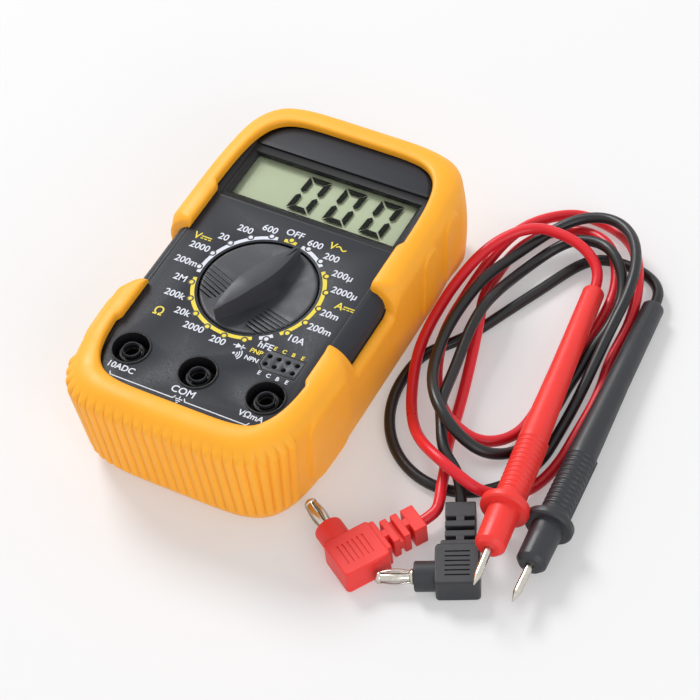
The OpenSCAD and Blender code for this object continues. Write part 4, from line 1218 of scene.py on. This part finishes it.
HFE_LETTERS = "ECBE"
HFE_X = 13.7
HFE_PITCH = 2.54
HFE_CAP = 1.15
HFE_Y = {"yellow": -15.7, "white": -23.9}
DIRECT_SIGNS = ((24.1, 2.7), (-20.4, 9))
DIRECT_HALF = 1.5
DIRECT_RISE = 0.35
DASH_HALF = 0.4
DASH_STEP = 1.1
SIGN_W = 0.32
WAVE_SIGN = (12.9, 19.7)
WAVE_SIZE = (3.0, 0.5)
WAVE_W = 0.36
DIODE_SIGN = (5.2, -18.6)
SOUND_SIGN = (4.9, -21)
SOUND_R = (0.9, 1.5, 2.1)
SOUND_HALF_ANGLE = 42
BRACKET_Y = -39.3
BRACKET_X = (-20.0, 18.8)
BRACKET_GAP = 1.7
BRACKET_RISE = 0.9
BRACKET_FLARE = 0.5
EARTH_BARS = ((1.0, 0.2), (0.65, -0.35), (0.3, -0.9))


def by_dial(x, y):
    return DIAL_X + x, DIAL_Y + y


def on_dial(radius, stop):
    """A point at a radius from the dial's axis, at a stop counted clockwise from the top."""
    return by_dial(*radius * heading(90 - 360 / STOPS * stop))


def word_meshes(words):
    """Meshes of words by text and height, from the built-in letters."""
    made = {}
    for text, _, _, cap in words:
        if (text, cap) in made:
            continue
        curve = bpy.data.curves.new("words", "FONT")
        curve.body = text
        curve.size = cap / CAP_SHARE * MM
        curve.align_x = "CENTER"
        curve.align_y = "CENTER"
        curve.extrude = PRINT_T / 2 * MM
        curve.offset = LETTER_WEIGHT * MM
        curve.resolution_u = 3
        made[text, cap] = add_object("words", curve)
    bpy.context.view_layer.update()
    graph = bpy.context.evaluated_depsgraph_get()
    meshes = {}
    for key, holder in made.items():
        meshes[key] = bpy.data.meshes.new_from_object(holder.evaluated_get(graph))
        bpy.data.objects.remove(holder)
    return meshes


def print_words(sheet, words, colour):
    """Words and the transistor socket's letters in one colour."""
    letters = [(c, HFE_X + HFE_PITCH * i, HFE_Y[colour], HFE_CAP) for i, c in enumerate(HFE_LETTERS)]
    meshes = word_meshes(words + letters)
    for text, x, y, cap in words + letters:
        sheet.take(meshes[text, cap], *by_dial(x, y))


def print_band(sheet, first, last):
    """A part of the ring round the dial, from one stop to another and a share of a stop further."""
    span = last - first + 2 * BAND_PAST
    count = max(4, int(span * 6))
    stops = [first - BAND_PAST + span * i / count for i in range(count + 1)]
    sheet.ribbon([on_dial(sum(BAND_R) / 2, stop) for stop in stops], BAND_R[1] - BAND_R[0])


def print_current_signs(sheet):
    """The signs for direct current, a line over three dashes, and for alternating current, a wave."""
    for at in DIRECT_SIGNS:
        x, y = by_dial(*at)
        sheet.dash(x - DIRECT_HALF, y + DIRECT_RISE, x + DIRECT_HALF, y + DIRECT_RISE, SIGN_W)
        low = y - DIRECT_RISE
        for middle in (x - DASH_STEP, x, x + DASH_STEP):
            sheet.dash(middle - DASH_HALF, low, middle + DASH_HALF, low, SIGN_W)
    x, y = by_dial(*WAVE_SIGN)
    sheet.ribbon([(x + WAVE_SIZE[0] * (t - 0.5), y + WAVE_SIZE[1] * sin(2 * pi * t))
                  for t in np.linspace(0, 1, 17)], WAVE_W)


def print_buzzer_sign(sheet):
    """A diode sign with a sound sign below it."""
    x, y = by_dial(*DIODE_SIGN)
    sheet.prism([(x - 0.8, y - 0.8), (x + 0.7, y), (x - 0.8, y + 0.8)])
    sheet.dash(x + 0.8, y - 0.8, x + 0.8, y + 0.8, 0.3)
    sheet.dash(x - 1.7, y, x - 0.8, y, 0.28)
    sheet.dash(x + 0.8, y, x + 1.7, y, 0.28)
    x, y = by_dial(*SOUND_SIGN)
    sheet.disc(x, y, 0.35, 14)
    for r in SOUND_R:
        sheet.ribbon([(x + r * cos(a), y + r * sin(a))
                      for a in radians_between(-SOUND_HALF_ANGLE, SOUND_HALF_ANGLE, 9)], 0.3)


def print_socket_bracket(sheet):
    """A line below the sockets with an earth sign in its middle."""
    y = DIAL_Y + BRACKET_Y
    left, right = BRACKET_X
    gap, rise, flare = BRACKET_GAP, BRACKET_RISE, BRACKET_FLARE
    sheet.ribbon([(left, y + rise), (left + flare, y), (-gap, y), (-gap + flare, y + rise)], 0.28)
    sheet.ribbon([(gap - flare, y + rise), (gap, y), (right, y), (right + flare, y + rise)], 0.28)
    for half, up in EARTH_BARS:
        sheet.dash(-half, y + up, half, y + up, 0.26)
    sheet.dash(0, y + 0.2, 0, y + 1.1, 0.26)


def make_print():
    level = PANEL_Z + PRINT_LIFT
    white, yellow = Sheet(level, PRINT_T), Sheet(level, PRINT_T)
    rims, dots, bright = Sheet(level, RIM_T), Sheet(level, DOT_T), Sheet(level, DOT_T)
    print_words(white, [(*word, RANGE_CAP) for word in RANGES] + WHITE_WORDS, "white")
    print_words(yellow, YELLOW_WORDS, "yellow")
    for first, last, coloured in BANDS:
        print_band(yellow if coloured else white, first, last)
        for stop in range(first, last + 1):
            x, y = on_dial(DOT_R, stop)
            rims.disc(x, y, DOT_CLEAR)
            (bright if coloured else dots).disc(x, y, DOT_SIZE)
    print_current_signs(yellow)
    print_buzzer_sign(white)
    print_socket_bracket(white)
    for sheet, name, ink in ((white, "white_print", white_ink), (yellow, "yellow_print", yellow_ink),
                             (rims, "dot_rims", line_black), (dots, "white_dots", white_ink),
                             (bright, "yellow_dots", yellow_ink)):
        sheet.piece(name, ink, "black_plastic")


# Socket rings, panel lines and the dial's pointer line

RING_R = (2.02, 2.34)
RING_Z = (PANEL_Z - 1.2, PANEL_Z - 0.2)
RING_EASE = 0.15
RING_STEPS = 48
LINE_LIFT = 0.003
LINE_T = 0.012
FIELD_LINE = (26.6, 23.7)
DISPLAY_LINE_X = 27.4
DISPLAY_LINE_Y = (24.4, 44.9)
DISPLAY_CUT = 1.6
SIDE_LINES_X = (-26.9, 25.7)
SIDE_LINE_PAST = 1.5
SOCKET_LINE_OUT = 0.35
SOCKET_LINE_CUT = 1.5
POINTER_R = (10.2, 13.6)
POINTER_DROP = 1.55
POINTER_T = 0.25
POINTER_W = 0.4


def make_socket_rings():
    """A dark bush round the mouth of each input socket."""
    rings = Shells()
    (inner, outer), (low, high), ease = RING_R, RING_Z, RING_EASE
    rows = ((inner, low), (outer, low), (outer, high - ease), (outer - ease, high), (inner + ease, high),
            (inner, high - ease))
    for x, y in SOCKETS:
        rings.loft([[(x + r * cos(a), y + r * sin(a), z) for r, z in rows]
                    for a in np.linspace(0, 2 * pi, RING_STEPS, endpoint=False)], looped=True)
    rings.piece("socket_rings", socket_plastic, "black_plastic")


def make_panel_lines():
    """Fine dark lines that part the panel's fields."""
    lines = Sheet(PANEL_Z + LINE_LIFT, LINE_T)
    half, y = FIELD_LINE
    lines.dash(-half, DIAL_Y + y, half, DIAL_Y + y, 0.3)
    half, cut = DISPLAY_LINE_X, DISPLAY_CUT
    low, high = (DIAL_Y + y for y in DISPLAY_LINE_Y)
    lines.ribbon([(-half, low), (-half, high - cut), (-half + cut, high), (half - cut, high),
                  (half, high - cut), (half, low)], 0.22)
    for x in SIDE_LINES_X:
        lines.dash(x, NOTCH_Y[0] - SIDE_LINE_PAST, x, NOTCH_Y[1] + SIDE_LINE_PAST, 0.34)
    low, high = box_mm("transistor_socket")
    (x0, y0), (x1, y1) = low[:2] - SOCKET_LINE_OUT, high[:2] + SOCKET_LINE_OUT
    corners = [(x0 + SOCKET_LINE_CUT, y0), (x1, y0), (x1, y1), (x0, y1), (x0, y0 + SOCKET_LINE_CUT)]
    lines.ribbon(corners, 0.25, closed=True)
    lines.piece("panel_lines", line_black, "black_plastic")


def make_pointer_line():
    """A short dark line near the tip of the dial's fin, at the first stop."""
    top = box_mm("dial_knob")[1][2]
    line = Sheet(top - POINTER_DROP, POINTER_T)
    line.ribbon([on_dial(r, 1) for r in POINTER_R], POINTER_W)
    line.piece("pointer_line", line_black, "black_plastic", body="dial")


# Stage

FLOOR_HALF = 4000
FLOOR_Z = -0.12
FLOOR_GLOW = 0.29
# Place and width in millimetres, and power in watts
LIGHTS = {
    "key": ((-1400, 850, 1600), 900, 37.0),
    "fill": ((1000, -650, 700), 900, 5.0),
}
WORLD_HORIZON = 0.9
WORLD_ZENITH = 0.45


def make_stage():
    mesh = bpy.data.meshes.new("floor")
    corners = [Vector((x * FLOOR_HALF, y * FLOOR_HALF, FLOOR_Z)) * MM for x, y in SQUARE]
    mesh.from_pydata(corners, [], [(0, 1, 2, 3)])
    mesh.materials.append(floor_material("pale_floor", srgb(196, 196, 197), FLOOR_GLOW))
    floor = add_object("floor", mesh)


def make_lights():
    for name, (place, size, power) in LIGHTS.items():
        data = bpy.data.lights.new(name, "AREA")
        data.shape = "DISK"
        data.size = size * MM
        data.energy = power
        light = add_object(name, data)
        light.location = Vector(place) * MM
        light.rotation_euler = (-light.location).to_track_quat("-Z", "Y").to_euler()


def make_world():
    """A pale studio, dimmer overhead, that the camera, mirrors and glass see as white."""
    world = bpy.data.worlds.new("studio")
    world.use_nodes = True
    bpy.context.scene.world = world
    net = Net(world.node_tree)
    where = net.add("ShaderNodeTexCoord")
    split = net.add("ShaderNodeSeparateXYZ", Vector=where.outputs["Generated"])
    level = net.add("ShaderNodeMapRange", Value=split.outputs["Z"],
                    To_Min=WORLD_HORIZON, To_Max=WORLD_ZENITH)
    ray = net.add("ShaderNodeLightPath").outputs
    mirrored = net.maths("MAXIMUM", ray["Is Glossy Ray"], ray["Is Transmission Ray"])
    seen = net.maths("MAXIMUM", ray["Is Camera Ray"], mirrored)
    strength = net.add("ShaderNodeMix", Factor=seen, A=level.outputs["Result"], B=1.0)
    background = net.tree.nodes["Background"]
    net.feed(background.inputs["Strength"], strength.outputs["Result"])
    net.feed(background.inputs["Color"], (1, 1, 1, 1))


# Finish and slot of each lead's plug and grip plate, and of its cable
LEAD_FINISH = {
    "red": (red_plastic, "red_plastic", red_sheath, "red_sheath"),
    "black": (black_lead, "black_lead_plastic", black_sheath, "black_sheath"),
}


def make_leads():
    for colour, points in zip(PLUGS, lead_points()):
        finish, slot, sheath, sheath_slot = LEAD_FINISH[colour]
        plate = make_grip_plate(colour, finish, slot)
        plug = make_plug(colour, finish, slot)
        contact = make_contact(colour)
        make_lead(colour, points, sheath, sheath_slot)


bpy.context.scene.view_settings.view_transform = "Standard"
make_camera()
make_leads()
dress_nodes()
make_holster()
make_display()
make_print()
make_socket_rings()
make_panel_lines()
make_pointer_line()
make_stage()
make_lights()
make_world()
